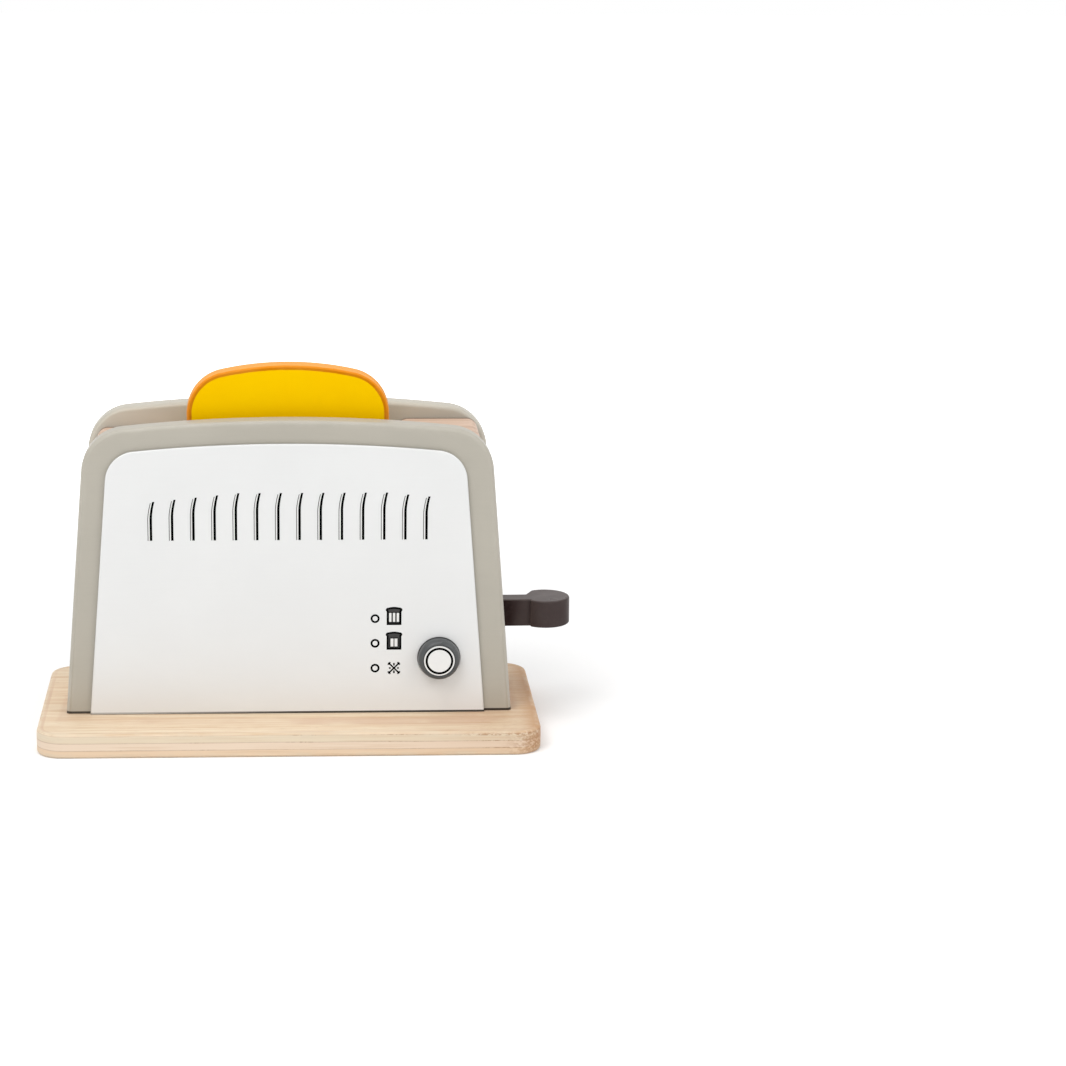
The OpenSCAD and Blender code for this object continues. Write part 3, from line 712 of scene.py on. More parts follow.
@dataclass(frozen=True)
class ToastPaint(Paint):
    """Yellow faces inside a brushed crust: peach sides, an orange rounded edge, a darker line inside."""

    side: Colour = (0.90, 0.42, 0.125)
    crust: Colour = (0.82, 0.27, 0.016)
    line: Colour = (0.62, 0.20, 0.002)
    side_width: float = 0.35 * MM
    line_from: float = 1.0 * MM
    crust_width: float = 1.95 * MM
    brush_shake: float = 0.3 * MM

    def film_colour(self, graph: Graph, point: Socket) -> Value:
        """The colour by the distance in from the outline, with a hand-brushed border."""
        shake = graph.product(graph.math("SUBTRACT", graph.noise(point, 260.0, 3.0), 0.5), self.brush_shake)
        distance = graph.math("ADD", graph.attribute("inset"), shake)
        side, line, face = (
            graph.ramp(distance, border - soft, border + soft) for border, soft in
            ((self.side_width, 0.15 * MM), (self.line_from, 0.2 * MM), (self.crust_width, 0.12 * MM))
        )
        warm = graph.ramp(graph.noise(point, 34.0, 4.0, 0.6, stretch=(1.0, 1.0, 0.6)), 0.3, 0.75)
        deeper = tuple(part * share for part, share in zip(self.colour, (0.99, 0.95, 1.0)))
        yellow = graph.blend(warm, self.colour, deeper)
        crumbs = graph.ramp(graph.noise(point, 700.0, 3.0, 0.6), 0.35, 0.75, 0.0, 0.25)
        baked = graph.blend(crumbs, self.crust, toned(self.crust, 0.8))
        border = graph.blend(line, graph.blend(side, self.side, baked), self.line)
        return graph.blend(face, border, yellow)


@dataclass(frozen=True)
class LitHandlePaint(Paint):
    """Dark paint with painted light: paler on the round head and palest on the upper side."""

    # painted light: the head and the upper side are paler, as if lit
    head: Colour = (0.066, 0.049, 0.047)
    top: Colour = (0.12, 0.10, 0.097)
    head_from: float = 84.0 * MM
    head_to: float = 92.0 * MM

    def film_colour(self, graph: Graph, point: Socket) -> Value:
        """The dark neck, the head painted paler where light falls, and the upper side painted palest."""
        along = graph.apart(point)[0]
        sides = graph.blend(graph.ramp(along, self.head_from, self.head_to), self.colour, self.head)
        return graph.blend(graph.ramp(graph.normal()[2], 0.4, 0.9), sides, self.top)


@dataclass(frozen=True)
class Moulded(Finish):
    """Moulded plastic or printed ink, with a fine even texture."""

    colour: Colour
    roughness: float = 0.45
    texture_scale: float = 2200.0
    relief: float = 0.02 * MM
    specular: float = 0.5

    def paint(self, graph: Graph, shader: Node) -> None:
        """Colour with a slight change, and a fine texture."""
        point = graph.object_point()
        slow = graph.ramp(graph.noise(point, 45.0, 3.0), 0.3, 0.7)
        graph.feed(shader.inputs["Base Color"], graph.blend(slow, self.colour, toned(self.colour, 0.9)))
        fine = graph.noise(point, self.texture_scale, 2.0)
        self.dull(graph, shader, fine, self.roughness - 0.04, self.roughness + 0.06)
        shader.inputs["Specular IOR Level"].default_value = self.specular
        self.bump(graph, shader, fine, self.relief)


@dataclass(frozen=True)
class PlatedSteel(Finish):
    """Zinc or nickel plated steel, with fine drawing lines and slight tarnish."""

    colour: Colour
    roughness: float = 0.3
    lines: Triple = (1.0, 1.0, 0.08)
    line_scale: float = 2600.0

    def paint(self, graph: Graph, shader: Node) -> None:
        """Bright metal with tarnish in the colour and lines in the gloss."""
        point = graph.object_point()
        lines = graph.noise(point, self.line_scale, 3.0, stretch=self.lines)
        tarnish = graph.ramp(graph.noise(point, 420.0, 4.0, 0.6), 0.45, 0.75, 0.0, 0.5)
        tarnished = tuple(part * share for part, share in zip(self.colour, (0.75, 0.68, 0.58)))
        graph.feed(shader.inputs["Base Color"], graph.blend(tarnish, self.colour, tarnished))
        self.dull(graph, shader, lines, self.roughness - 0.08, self.roughness + 0.14)
        shader.inputs["Metallic"].default_value = 1.0
        self.bump(graph, shader, lines, 0.01 * MM)


@dataclass(frozen=True)
class Felt(Finish):
    """Pressed felt: mottled fibres without gloss."""

    colour: Colour

    def paint(self, graph: Graph, shader: Node) -> None:
        """Tangled light and dark fibres."""
        tangle = graph.noise(graph.object_point(), 1400.0, 5.0, 0.75)
        mottled = graph.blend(graph.ramp(tangle, 0.35, 0.7), self.colour, toned(self.colour, 1.9))
        graph.feed(shader.inputs["Base Color"], mottled)
        self.dull(graph, shader, tangle, 0.85, 1.0)
        self.bump(graph, shader, tangle, 0.25 * MM)


BASE_PLY = LayeredPly(
    "base_ply", (0.81, 0.69, 0.52), (0.645, 0.45, 0.276), ring_width=11.0 * MM, ring_strength=0.2,
    streak_strength=0.5,
)
GREY_PAINT = Paint(
    "grey_paint", (0.462, 0.434, 0.371), variation=0.03, wear=0.2, wear_colour=(0.58, 0.545, 0.48),
    specular=0.35, foot_level=10.3 * MM, foot_left_strength=0.95,
)
# painted light: the back board gets a paler copy of the grey paint, for the light that it lacks
BACK_GREY_LIT = Paint(
    "grey_paint_back", (0.53, 0.495, 0.42), variation=0.03, wear=0.2, wear_colour=(0.60, 0.565, 0.50),
    specular=0.35, foot_level=9.7 * MM, inner_light=0.17,
)
WHITE_LACQUER = Paint(
    "white_lacquer", (0.805, 0.81, 0.805), variation=0.012, roughness=0.34, wear=0.25,
    wear_colour=(0.86, 0.86, 0.84), grain_show=0.12, relief=0.03 * MM, specular=0.35, foot_level=10.15 * MM,
    rim_node="front_panel",
)
PALE_WOOD = BareWood("pale_wood", (0.80, 0.64, 0.49), (0.62, 0.42, 0.27), turn=(0.0, QUARTER, 0.0))
PALE_WOOD_LEVEL = BareWood("pale_wood_level", (0.80, 0.62, 0.46), (0.62, 0.41, 0.26))
BLOCK_WOOD = JointedWood(
    "block_wood", (0.70, 0.52, 0.405), (0.50, 0.33, 0.225), ring_strength=0.25, streak_strength=0.6,
)
LEVER_PLY = BareWood("lever_ply", (0.72, 0.55, 0.37), (0.52, 0.34, 0.20), ring_width=5.0 * MM)
CHARCOAL = LitHandlePaint(
    "charcoal_paint", (0.014, 0.004, 0.0035), variation=0.10, roughness=0.32, wear=0.45,
    wear_colour=(0.075, 0.060, 0.057), grain_show=0.4, specular=0.05,
)
BUTTON_GREY = Paint(
    "button_grey", (0.070, 0.074, 0.076), variation=0.08, roughness=0.30, wear=0.3,
    wear_colour=(0.16, 0.165, 0.165), grain_show=0.1, relief=0.02 * MM, specular=0.4,
)
TOAST = ToastPaint(
    "toast_yellow", (0.97, 0.60, 0.0005), variation=0.012, roughness=0.5, wear=0.25,
    wear_colour=(0.88, 0.36, 0.06), grain_show=0.4, specular=0.0,
)
BUTTON_WHITE = Moulded("button_white", (0.86, 0.86, 0.85), roughness=0.35)
BLACK_INK = Moulded("black_ink", (0.001, 0.001, 0.001), roughness=0.6, specular=0.0)
DARK_INK = Moulded("dark_ink", (0.06, 0.06, 0.06), roughness=0.6, specular=0.1)
GREY_INK = Moulded("grey_ink", (0.12, 0.12, 0.116), roughness=0.6, specular=0.1)
WHITE_INK = Moulded("white_ink", (0.88, 0.88, 0.87), roughness=0.5, specular=0.3)
DARK_PLASTIC = Moulded("dark_plastic", (0.05, 0.05, 0.052))
PALE_PLASTIC = Moulded("pale_plastic", (0.64, 0.63, 0.60))
ZINC = PlatedSteel("zinc_steel", (0.66, 0.66, 0.64))
SPRING_STEEL = PlatedSteel("spring_steel", (0.55, 0.55, 0.56), roughness=0.24)
NICKEL = PlatedSteel("magnet_nickel", (0.72, 0.70, 0.66), roughness=0.16)
FELT = Felt("grey_felt", (0.16, 0.16, 0.16))


# ---- mesh making

class Plane(Enum):
    """Which axes an outline's u and v, and its thickness, run along."""

    UPRIGHT = (0, 2, 1)
    LEVEL = (0, 1, 2)
    SIDEWAYS = (1, 2, 0)

    def place(self, u: float, v: float, w: float) -> Vector:
        """Returns the point with those coordinates on this plane's axes."""
        point = Vector((0.0, 0.0, 0.0))
        for axis, value in zip(self.value, (u, v, w)):
            point[axis] = value
        return point


def show(mesh: bpy.types.Mesh) -> Thing:
    """Puts a mesh in the scene as an object of the same name."""
    thing = bpy.data.objects.new(mesh.name, mesh)
    bpy.context.scene.collection.objects.link(thing)
    return thing


def discard(*things: Thing) -> None:
    """Removes helper objects and their meshes."""
    for thing in things:
        mesh = thing.data
        bpy.data.objects.remove(thing)
        bpy.data.meshes.remove(mesh)


def flatten(thing: Thing) -> Thing:
    """Turns an object's modifiers into a plain mesh.

    Args:
        thing: The object, whose modifiers are removed.

    Returns:
        The same object.
    """
    evaluated = thing.evaluated_get(bpy.context.evaluated_depsgraph_get())
    mesh = bpy.data.meshes.new_from_object(evaluated)
    old = thing.data
    thing.modifiers.clear()
    thing.data = mesh
    mesh.name = thing.name
    if old.users == 0:
        bpy.data.meshes.remove(old)
    return thing


def carve(thing: Thing, *cutters: Thing) -> Thing:
    """Cuts other closed meshes out of an object, and removes the cutters."""
    for cutter in cutters:
        modifier = thing.modifiers.new("cut", "BOOLEAN")
        modifier.operation = "DIFFERENCE"
        modifier.solver = "EXACT"
        modifier.object = cutter
    flatten(thing)
    discard(*cutters)
    return thing


def smooth(thing: Thing, angle: float = 38.0) -> Thing:
    """Shades rounded faces smooth and keeps the flat ones flat.

    Args:
        thing: The object.
        angle: Edges that turn by more than this, in degrees, stay sharp.

    Returns:
        The same object.
    """
    mesh = thing.data
    mesh.polygons.foreach_set("use_smooth", [True] * len(mesh.polygons))
    mesh.set_sharp_from_angle(angle=math.radians(angle))
    weighted = thing.modifiers.new("weighted", "WEIGHTED_NORMAL")
    weighted.keep_sharp = True
    weighted.weight = 80
    return flatten(thing)


def as_object(form: Form, name: str) -> Thing:
    """Turns a closed form's faces outwards and makes an object of it."""
    bmesh.ops.recalc_face_normals(form, faces=form.faces)
    mesh = bpy.data.meshes.new(name)
    form.to_mesh(mesh)
    form.free()
    return show(mesh)


def bridge(form: Form, lower: Sequence[bmesh.types.BMVert],
           upper: Sequence[bmesh.types.BMVert]) -> Faces:
    """Joins two loops of points with faces.

    Args:
        form: The form that the faces go into.
        lower: One loop; a loop of one point is a pole.
        upper: The other loop.

    Returns:
        The faces.
    """
    count = max(len(lower), len(upper))
    faces = []
    for i in range(count):
        j = (i + 1) % count
        corners = [loop[k % len(loop)] for loop, k in ((lower, i), (lower, j), (upper, j), (upper, i))]
        faces.append(form.faces.new(list(dict.fromkeys(corners))))
    return faces


def add_prism(form: Form, outline: Sequence[Point], plane: Plane, low: float,
              high: float) -> Faces:
    """Adds a closed straight prism.

    Args:
        form: The form that it goes into.
        outline: Its outline, anticlockwise.
        plane: The outline's plane.
        low: Where it starts across the plane.
        high: Where it ends.

    Returns:
        Its faces, with the two ends first.
    """
    lower, upper = ([form.verts.new(plane.place(u, v, w)) for u, v in outline] for w in (low, high))
    ends = [form.faces.new(reversed(lower)), form.faces.new(upper)]
    return ends + bridge(form, lower, upper)


def inset_outline(outline: Sequence[Point], distance: float, foot_share: float = 1.0) -> list[Point]:
    """Moves a convex outline inwards.

    Args:
        outline: Its points, anticlockwise.
        distance: How far each side moves.
        foot_share: The share of the move that the lowest points make upwards.

    Returns:
        The moved points.
    """
    lowest = min(v for _, v in outline)
    moved = []
    count = len(outline)
    for i, (u, v) in enumerate(outline):
        before, after = outline[i - 1], outline[(i + 1) % count]
        a = Vector((v - before[1], before[0] - u)).normalized()
        b = Vector((after[1] - v, u - after[0])).normalized()
        step = (a + b) * (distance / (1.0 + a.dot(b)))
        share = foot_share if v < lowest + 1e-6 else 1.0
        moved.append((u - step.x, v - step.y * share))
    return moved


@dataclass
class RoundedSlab:
    """A board: a convex outline with a thickness and rounded edges."""

    outline: Sequence[Point]
    low: float
    high: float
    plane: Plane
    low_radius: float
    high_radius: float
    foot_share: float = 1.0
    segments: int = 6
    band: float = 2.0 * MM

    def _rows(self) -> list[Triple]:
        """Returns each loop's inset, its place across the thickness, and its edge value."""
        turns = [QUARTER * i / self.segments for i in range(self.segments + 1)]
        quarter = [(1 - math.sin(a), 1 - math.cos(a)) for a in turns]
        side_from, side_to = self.low + self.low_radius, self.high - self.high_radius
        rows = [(self.low_radius + self.band, self.low, 0.0)]
        rows += [(self.low_radius * u, self.low + self.low_radius * v, 1.0) for u, v in quarter]
        if side_to - side_from > 2.5 * self.band:
            rows += [(0.0, side_from + self.band, 0.0), (0.0, side_to - self.band, 0.0)]
        rows += [(self.high_radius * u, self.high - self.high_radius * v, 1.0) for u, v in reversed(quarter)]
        rows.append((self.high_radius + self.band, self.high, 0.0))
        return rows

    def build(self, name: str) -> Thing:
        """Makes the board.

        Args:
            name: The piece's name.

        Returns:
            The object, with the attributes edge and inset on its points.
        """
        form = bmesh.new()
        edge = form.verts.layers.float.new("edge")
        inset = form.verts.layers.float.new("inset")
        loops = []
        for distance, w, value in self._rows():
            loop = []
            for u, v in inset_outline(self.outline, distance, self.foot_share):
                vert = form.verts.new(self.plane.place(u, v, w))
                vert[edge] = value
                vert[inset] = distance
                loop.append(vert)
            loops.append(loop)
        for lower, upper in zip(loops, loops[1:]):
            bridge(form, lower, upper)
        form.faces.new(reversed(loops[0]))
        form.faces.new(loops[-1])
        return as_object(form, name)


def lathe(name: str, profile: Sequence[Point], centre: Vector, axis: Vector,
          steps: int = 96) -> Thing:
    """Turns a closed shape about an axis.

    Args:
        name: The piece's name.
        profile: Radius and distance along the axis, from one pole to the other.
        centre: Where distance 0 lies.
        axis: The axis, as a unit vector.
        steps: How many faces go round.

    Returns:
        The object.
    """
    turn = axis.to_track_quat("Z", "Y").to_matrix()
    angles = [math.tau * i / steps for i in range(steps)]
    form = bmesh.new()
    rings = []
    for radius, along in profile:
        if radius < 1e-7:
            rings.append([form.verts.new(centre + axis * along)])
            continue
        places = [Vector((radius * math.cos(a), radius * math.sin(a), along)) for a in angles]
        rings.append([form.verts.new(centre + turn @ place) for place in places])
    for lower, upper in zip(rings, rings[1:]):
        bridge(form, lower, upper)
    return as_object(form, name)


def arc(centre: Point, radius: float, start: float, end: float, steps: int) -> list[Point]:
    """Returns the points of an arc between two angles, given in degrees."""
    points = []
    for i in range(steps + 1):
        a = math.radians(start + (end - start) * i / steps)
        points.append((centre[0] + radius * math.cos(a), centre[1] + radius * math.sin(a)))
    return points


def rectangle(low: Point, high: Point) -> list[Point]:
    """Returns the corners of a rectangle, anticlockwise."""
    return [(low[0], low[1]), (high[0], low[1]), (high[0], high[1]), (low[0], high[1])]


def rounded_rectangle(low: Point, high: Point, radius: float, steps: int) -> list[Point]:
    """Returns the points of a rectangle with rounded corners.

    Args:
        low: Its lowest corner.
        high: Its highest corner.
        radius: The radius of its corners.
        steps: How many steps each corner takes.

    Returns:
        The points, anticlockwise.
    """
    centres = rectangle((low[0] + radius, low[1] + radius), (high[0] - radius, high[1] - radius))
    points = []
    for k, centre in enumerate(centres[1:] + centres[:1]):
        points += arc(centre, radius, 90 * k - 90, 90 * k, steps)
    return points


def rounded_box(name: str, low: Vector, high: Vector, radius: float, plane: Plane) -> Thing:
    """Makes a box with rounded edges whose upright corners are rounded too.

    Args:
        name: The piece's name.
        low: Its lowest corner.
        high: Its highest corner.
        radius: The radius of its edges.
        plane: The plane of its outline.

    Returns:
        The object.
    """
    u, v, w = plane.value
    outline = rounded_rectangle((low[u], low[v]), (high[u], high[v]), radius, 4)
    return RoundedSlab(outline, low[w], high[w], plane, radius, radius, band=radius).build(name)


@dataclass(frozen=True)
class CrownedShape:
    """Outline of a board: level foot, leaning sides, rounded shoulders and a crowned top."""

    half_width: float
    foot: float
    top: float
    lean: float
    crown_radius: float
    shoulder_radius: float

    def shoulder(self) -> Point:
        """Returns the middle of the right shoulder's arc."""
        lean = math.radians(self.lean)
        start = Vector((self.half_width - self.shoulder_radius * math.cos(lean),
                        self.foot - self.shoulder_radius * math.sin(lean)))
        middle = Vector((0.0, self.top - self.crown_radius))
        way = Vector((-math.sin(lean), math.cos(lean)))
        gap = start - middle
        b = gap.dot(way)
        c = gap.dot(gap) - (self.crown_radius - self.shoulder_radius) ** 2
        found = start + way * (-b + math.sqrt(b * b - c))
        return found.x, found.y

    def outline(self) -> list[Point]:
        """Returns the points, anticlockwise from the right foot."""
        x, z = self.shoulder()
        middle = (0.0, self.top - self.crown_radius)
        meet = math.degrees(math.atan2(z - middle[1], x))
        right = arc((x, z), self.shoulder_radius, self.lean, meet, 20)
        top = arc(middle, self.crown_radius, meet, 180.0 - meet, 28)[1:-1]
        left = arc((-x, z), self.shoulder_radius, 180.0 - meet, 180.0 - self.lean, 20)
        return [(self.half_width, self.foot), *right, *top, *left, (-self.half_width, self.foot)]


# ---- joining in

def middle_of(node: str) -> Vector:
    """Returns the middle of a node's box."""
    low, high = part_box(node)
    return (low + high) / 2


def finish_piece(thing: Thing, finish: Finish, body: str,
                 nodes: Sequence[str] = ()) -> Thing:
    """Gives a piece its material and body, and hides the frame's nodes that it stands for.

    Args:
        thing: The piece.
        finish: Its finish.
        body: The body that it moves with.
        nodes: The frame's nodes that it replaces.

    Returns:
        The piece.
    """
    thing.data.materials.clear()
    thing.data.materials.append(finish.material())
    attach(thing, body)
    if nodes:
        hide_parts(*nodes)
    LOG.info("%s: %s on %s, %d faces", thing.name, finish.name, body, len(thing.data.polygons))
    return thing


def dress(node: str, finish: Finish) -> None:
    """Gives one of the frame's own nodes a better material."""
    thing = frame["nodes"][node]
    for slot in thing.material_slots:
        slot.material = finish.material()
    LOG.info("%s: %s", node, finish.name)


# ---- geometry node trees

class GeometryTool:
    """A geometry node tree that makes one kind of repeated piece."""

    def __init__(self, name: str, sizes: dict[str, SocketKind]) -> None:
        """Starts the tree with its named inputs.

        Args:
            name: The tree's name.
            sizes: Names and kinds of its inputs, besides the material.
        """
        inputs = {"Geometry": SocketKind.GEOMETRY, "Material": SocketKind.MATERIAL, **sizes}
        self.tree, self.graph, self.inside, self.outside = new_group(
            name, "GeometryNodeTree", inputs, {"Geometry": SocketKind.GEOMETRY}
        )

    def __getitem__(self, name: str) -> Socket:
        """Returns the tree's input of that name."""
        return self.inside.outputs[name]

    def end(self, geometry: Socket) -> None:
        """Ends the tree in Realize Instances and Set Material."""
        real = self.graph.add("GeometryNodeRealizeInstances", {"Geometry": geometry})
        dressed = self.graph.add(
            "GeometryNodeSetMaterial", {"Geometry": real.outputs[0], "Material": self["Material"]}
        )
        self.graph.feed(self.outside.inputs["Geometry"], dressed.outputs[0])

    def make(self, name: str, finish: Finish, **values: object) -> Thing:
        """Runs the tree and returns its result as a plain mesh object.

        Args:
            name: The piece's name.
            finish: Its finish.
            values: Values for the named inputs, with _ for each space.

        Returns:
            The object.
        """
        thing = show(bpy.data.meshes.new(name))
        modifier = thing.modifiers.new("make", "NODES")
        modifier.node_group = self.tree
        given = {"Material": finish.material()}
        given.update({key.replace("_", " "): value for key, value in values.items()})
        for item in self.tree.interface.items_tree:
            if item.in_out == "INPUT" and item.name in given:
                modifier[item.identifier] = given[item.name]
        return flatten(thing)


@cache
def coil_tool() -> GeometryTool:
    """Builds the tree of a round-wire coil spring along Z, then placed and turned."""
    numbers = ("Turns", "Coil Radius", "Wire Radius", "Length")
    tool = GeometryTool("coil_spring", {
        **dict.fromkeys(numbers, SocketKind.NUMBER), "Place": SocketKind.VECTOR, "Turn": SocketKind.VECTOR,
    })
    graph = tool.graph
    line = graph.add("GeometryNodeCurveSpiral", {
        "Resolution": 28, "Rotations": tool["Turns"], "Start Radius": tool["Coil Radius"],
        "End Radius": tool["Coil Radius"], "Height": tool["Length"],
    })
    wire = graph.add("GeometryNodeCurvePrimitiveCircle", {
        "Resolution": 12, "Radius": tool["Wire Radius"],
    })
    tube = graph.add("GeometryNodeCurveToMesh", {
        "Curve": line.outputs[0], "Profile Curve": wire.outputs[0], "Fill Caps": True,
    })
    soft = graph.add("GeometryNodeSetShadeSmooth", {"Geometry": tube.outputs[0], "Shade Smooth": True})
    placed = graph.add("GeometryNodeTransform", {
        "Geometry": soft.outputs[0], "Translation": tool["Place"], "Rotation": tool["Turn"],
    })
    tool.end(placed.outputs[0])
    return tool


@cache
def scatter_tool() -> GeometryTool:
    """Builds the tree that copies one shape to every point of a carrier mesh."""
    tool = GeometryTool("copies_at_points", {
        "Shape": SocketKind.OBJECT, "Places": SocketKind.OBJECT, "Turn": SocketKind.VECTOR,
    })
    graph = tool.graph
    shape = graph.add("GeometryNodeObjectInfo", {"Object": tool["Shape"], "As Instance": True})
    places = graph.add("GeometryNodeObjectInfo", {"Object": tool["Places"]})
    copies = graph.add("GeometryNodeInstanceOnPoints", {
        "Points": places.outputs["Geometry"], "Instance": shape.outputs["Geometry"],
        "Rotation": tool["Turn"],
    })
    tool.end(copies.outputs[0])
    return tool


class VentTool(GeometryTool):
    """Makes a row of upright strokes that bend to the right at the top.

    The strokes are equal in the middle of the row and get shorter towards its ends.
    """

    NUMBERS = (
        "Pitch", "Width", "Foot", "Height", "Level Middle", "Level Half", "Drop", "Bend Height",
        "Bend Reach", "Taper", "Shift", "Front", "Thickness",
    )
    BEND_POWER = 1.7
    STEPS = 25

    def __init__(self) -> None:
        """Builds the tree."""
        super().__init__("vent_row", {
            "Count": SocketKind.COUNT, **dict.fromkeys(self.NUMBERS, SocketKind.NUMBER),
        })
        bent = self._bent(self._strokes())
        raised = self.graph.add("GeometryNodeExtrudeMesh", {
            "Mesh": bent, "Offset": self.graph.joined(y=-1.0), "Offset Scale": self["Thickness"],
            "Individual": False,
        })
        back = self.graph.add("GeometryNodeFlipFaces", {"Mesh": bent})
        both = self.graph.add("GeometryNodeJoinGeometry")
        self.graph.feed(both.inputs[0], raised.outputs[0])
        self.graph.feed(both.inputs[0], back.outputs[0])
        closed = self.graph.add("GeometryNodeMergeByDistance", {
            "Geometry": both.outputs[0], "Distance": 0.002 * MM,
        })
        self.end(closed.outputs[0])

    def _place(self) -> list[Socket]:
        """Returns the X, Y and Z of each point."""
        return self.graph.apart(self.graph.add("GeometryNodeInputPosition").outputs[0])

    def _noted(self, geometry: Socket, name: str, number: Socket) -> Socket:
        """Returns the geometry with a number kept on its points."""
        inputs = {"Geometry": geometry, "Name": name, "Value": number}
        kind = "GeometryNodeStoreNamedAttribute"
        return self.graph.add(kind, inputs, data_type="FLOAT", domain="POINT").outputs[0]

    def _read(self, name: str) -> Socket:
        """Returns a number that was kept on the points."""
        kind = "GeometryNodeInputNamedAttribute"
        return self.graph.add(kind, {"Name": name}, data_type="FLOAT").outputs[0]

    def _strokes(self) -> Socket:
        """Returns the straight strokes, each as high as its place in the row asks."""
        graph = self.graph
        gaps = graph.math("SUBTRACT", self["Count"], 1.0)
        start = graph.product(gaps, self["Pitch"], -0.5)
        row = graph.add("GeometryNodeMeshLine", {
            "Count": self["Count"], "Start Location": graph.joined(start, 0.0, self["Foot"]),
            "Offset": graph.joined(self["Pitch"]),
        })
        along = self._place()[0]
        off = graph.off(along, self["Level Middle"])
        past = graph.math("MAXIMUM", graph.math("SUBTRACT", off, self["Level Half"]), 0.0)
        height = graph.math("SUBTRACT", self["Height"], graph.product(past, self["Drop"]))
        points = self._noted(self._noted(row.outputs[0], "height", height), "middle", along)
        grid = graph.add("GeometryNodeMeshGrid", {
            "Size X": self["Width"], "Size Y": 1.0, "Vertices X": 2, "Vertices Y": self.STEPS,
        })
        upright = graph.add("GeometryNodeTransform", {
            "Geometry": grid.outputs[0], "Translation": (0.0, 0.0, 0.5), "Rotation": (QUARTER, 0.0, 0.0),
        })
        copies = graph.add("GeometryNodeInstanceOnPoints", {
            "Points": points, "Instance": upright.outputs[0],
            "Scale": graph.joined(1.0, 1.0, self._read("height")),
        })
        return graph.add("GeometryNodeRealizeInstances", {"Geometry": copies.outputs[0]}).outputs[0]

    def _bent(self, strokes: Socket) -> Socket:
        """Returns the strokes with their tops bent to the right, and narrowed by the taper."""
        graph = self.graph
        x, _, z = self._place()
        top = graph.math("ADD", self["Foot"], self._read("height"))
        bend_from = graph.math("SUBTRACT", top, self["Bend Height"])
        share = graph.math("DIVIDE", graph.math("SUBTRACT", z, bend_from), self["Bend Height"])
        share = graph.math("MAXIMUM", share, 0.0)
        lean = graph.product(graph.math("POWER", share, self.BEND_POWER), self["Bend Reach"])
        off_middle = graph.math("SUBTRACT", x, self._read("middle"))
        narrower = graph.product(off_middle, self["Taper"], share)
        sideways = graph.math("SUBTRACT", graph.math("ADD", lean, self["Shift"]), narrower)
        return graph.add("GeometryNodeSetPosition", {
            "Geometry": strokes, "Offset": graph.joined(sideways, self["Front"]),
        }).outputs[0]


def copies_at(name: str, shape: Thing, places: Sequence[Vector], finish: Finish,
              turn: Triple = ZERO) -> Thing:
    """Copies a shape to several places as one mesh, and removes the shape.

    Args:
        name: The piece's name.
        shape: The shape, built round the origin.
        places: Where the copies go.
        finish: Their finish.
        turn: Their rotation.

    Returns:
        The object.
    """
    mesh = bpy.data.meshes.new(name + "_places")
    mesh.from_pydata([tuple(place) for place in places], [], [])
    carrier = show(mesh)
    made = scatter_tool().make(name, finish, Shape=shape, Places=carrier, Turn=turn)
    discard(shape, carrier)
    return made


# ---- sub-assemblies

PAST = 1.0 * MM  # how far a cutter reaches past the face that it opens


@dataclass
class ScrewHead:
    """A countersunk screw with a cross recess, its head level with the origin and its shank down Z."""

    head: float
    shank: float
    length: float
    rim_share: float = 0.12
    recess_share: float = 0.56
    recess_half_share: float = 0.11
    recess_depth_share: float = 0.55
    crease: float = 32.0

    def build(self, name: str) -> Thing:
        """Returns the screw as an object."""
        r, s = self.head / 2, self.shank / 2
        cone = r - s
        rim = self.rim_share * r
        profile = [
            (0.0, 0.0), (r - rim, 0.0), (r - 0.3 * rim, -0.25 * rim), (r, -rim), (s, -cone - rim),
            (s, -self.length + 2 * s), (0.0, -self.length),
        ]
        screw = lathe(name, profile, Vector(), UP, 40)
        depth = self.recess_depth_share * cone + rim
        wing, half = self.recess_share * r, self.recess_half_share * r
        cutters = []
        for u, v in ((wing, half), (half, wing)):
            slab = RoundedSlab(
                rectangle((-u, -v), (u, v)), -depth, 0.3 * MM, Plane.LEVEL, 0.08 * r, 0.01 * r,
                segments=2, band=0.02 * r,
            )
            cutters.append(slab.build(name + "_cutter"))
        return smooth(carve(screw, *cutters), self.crease)


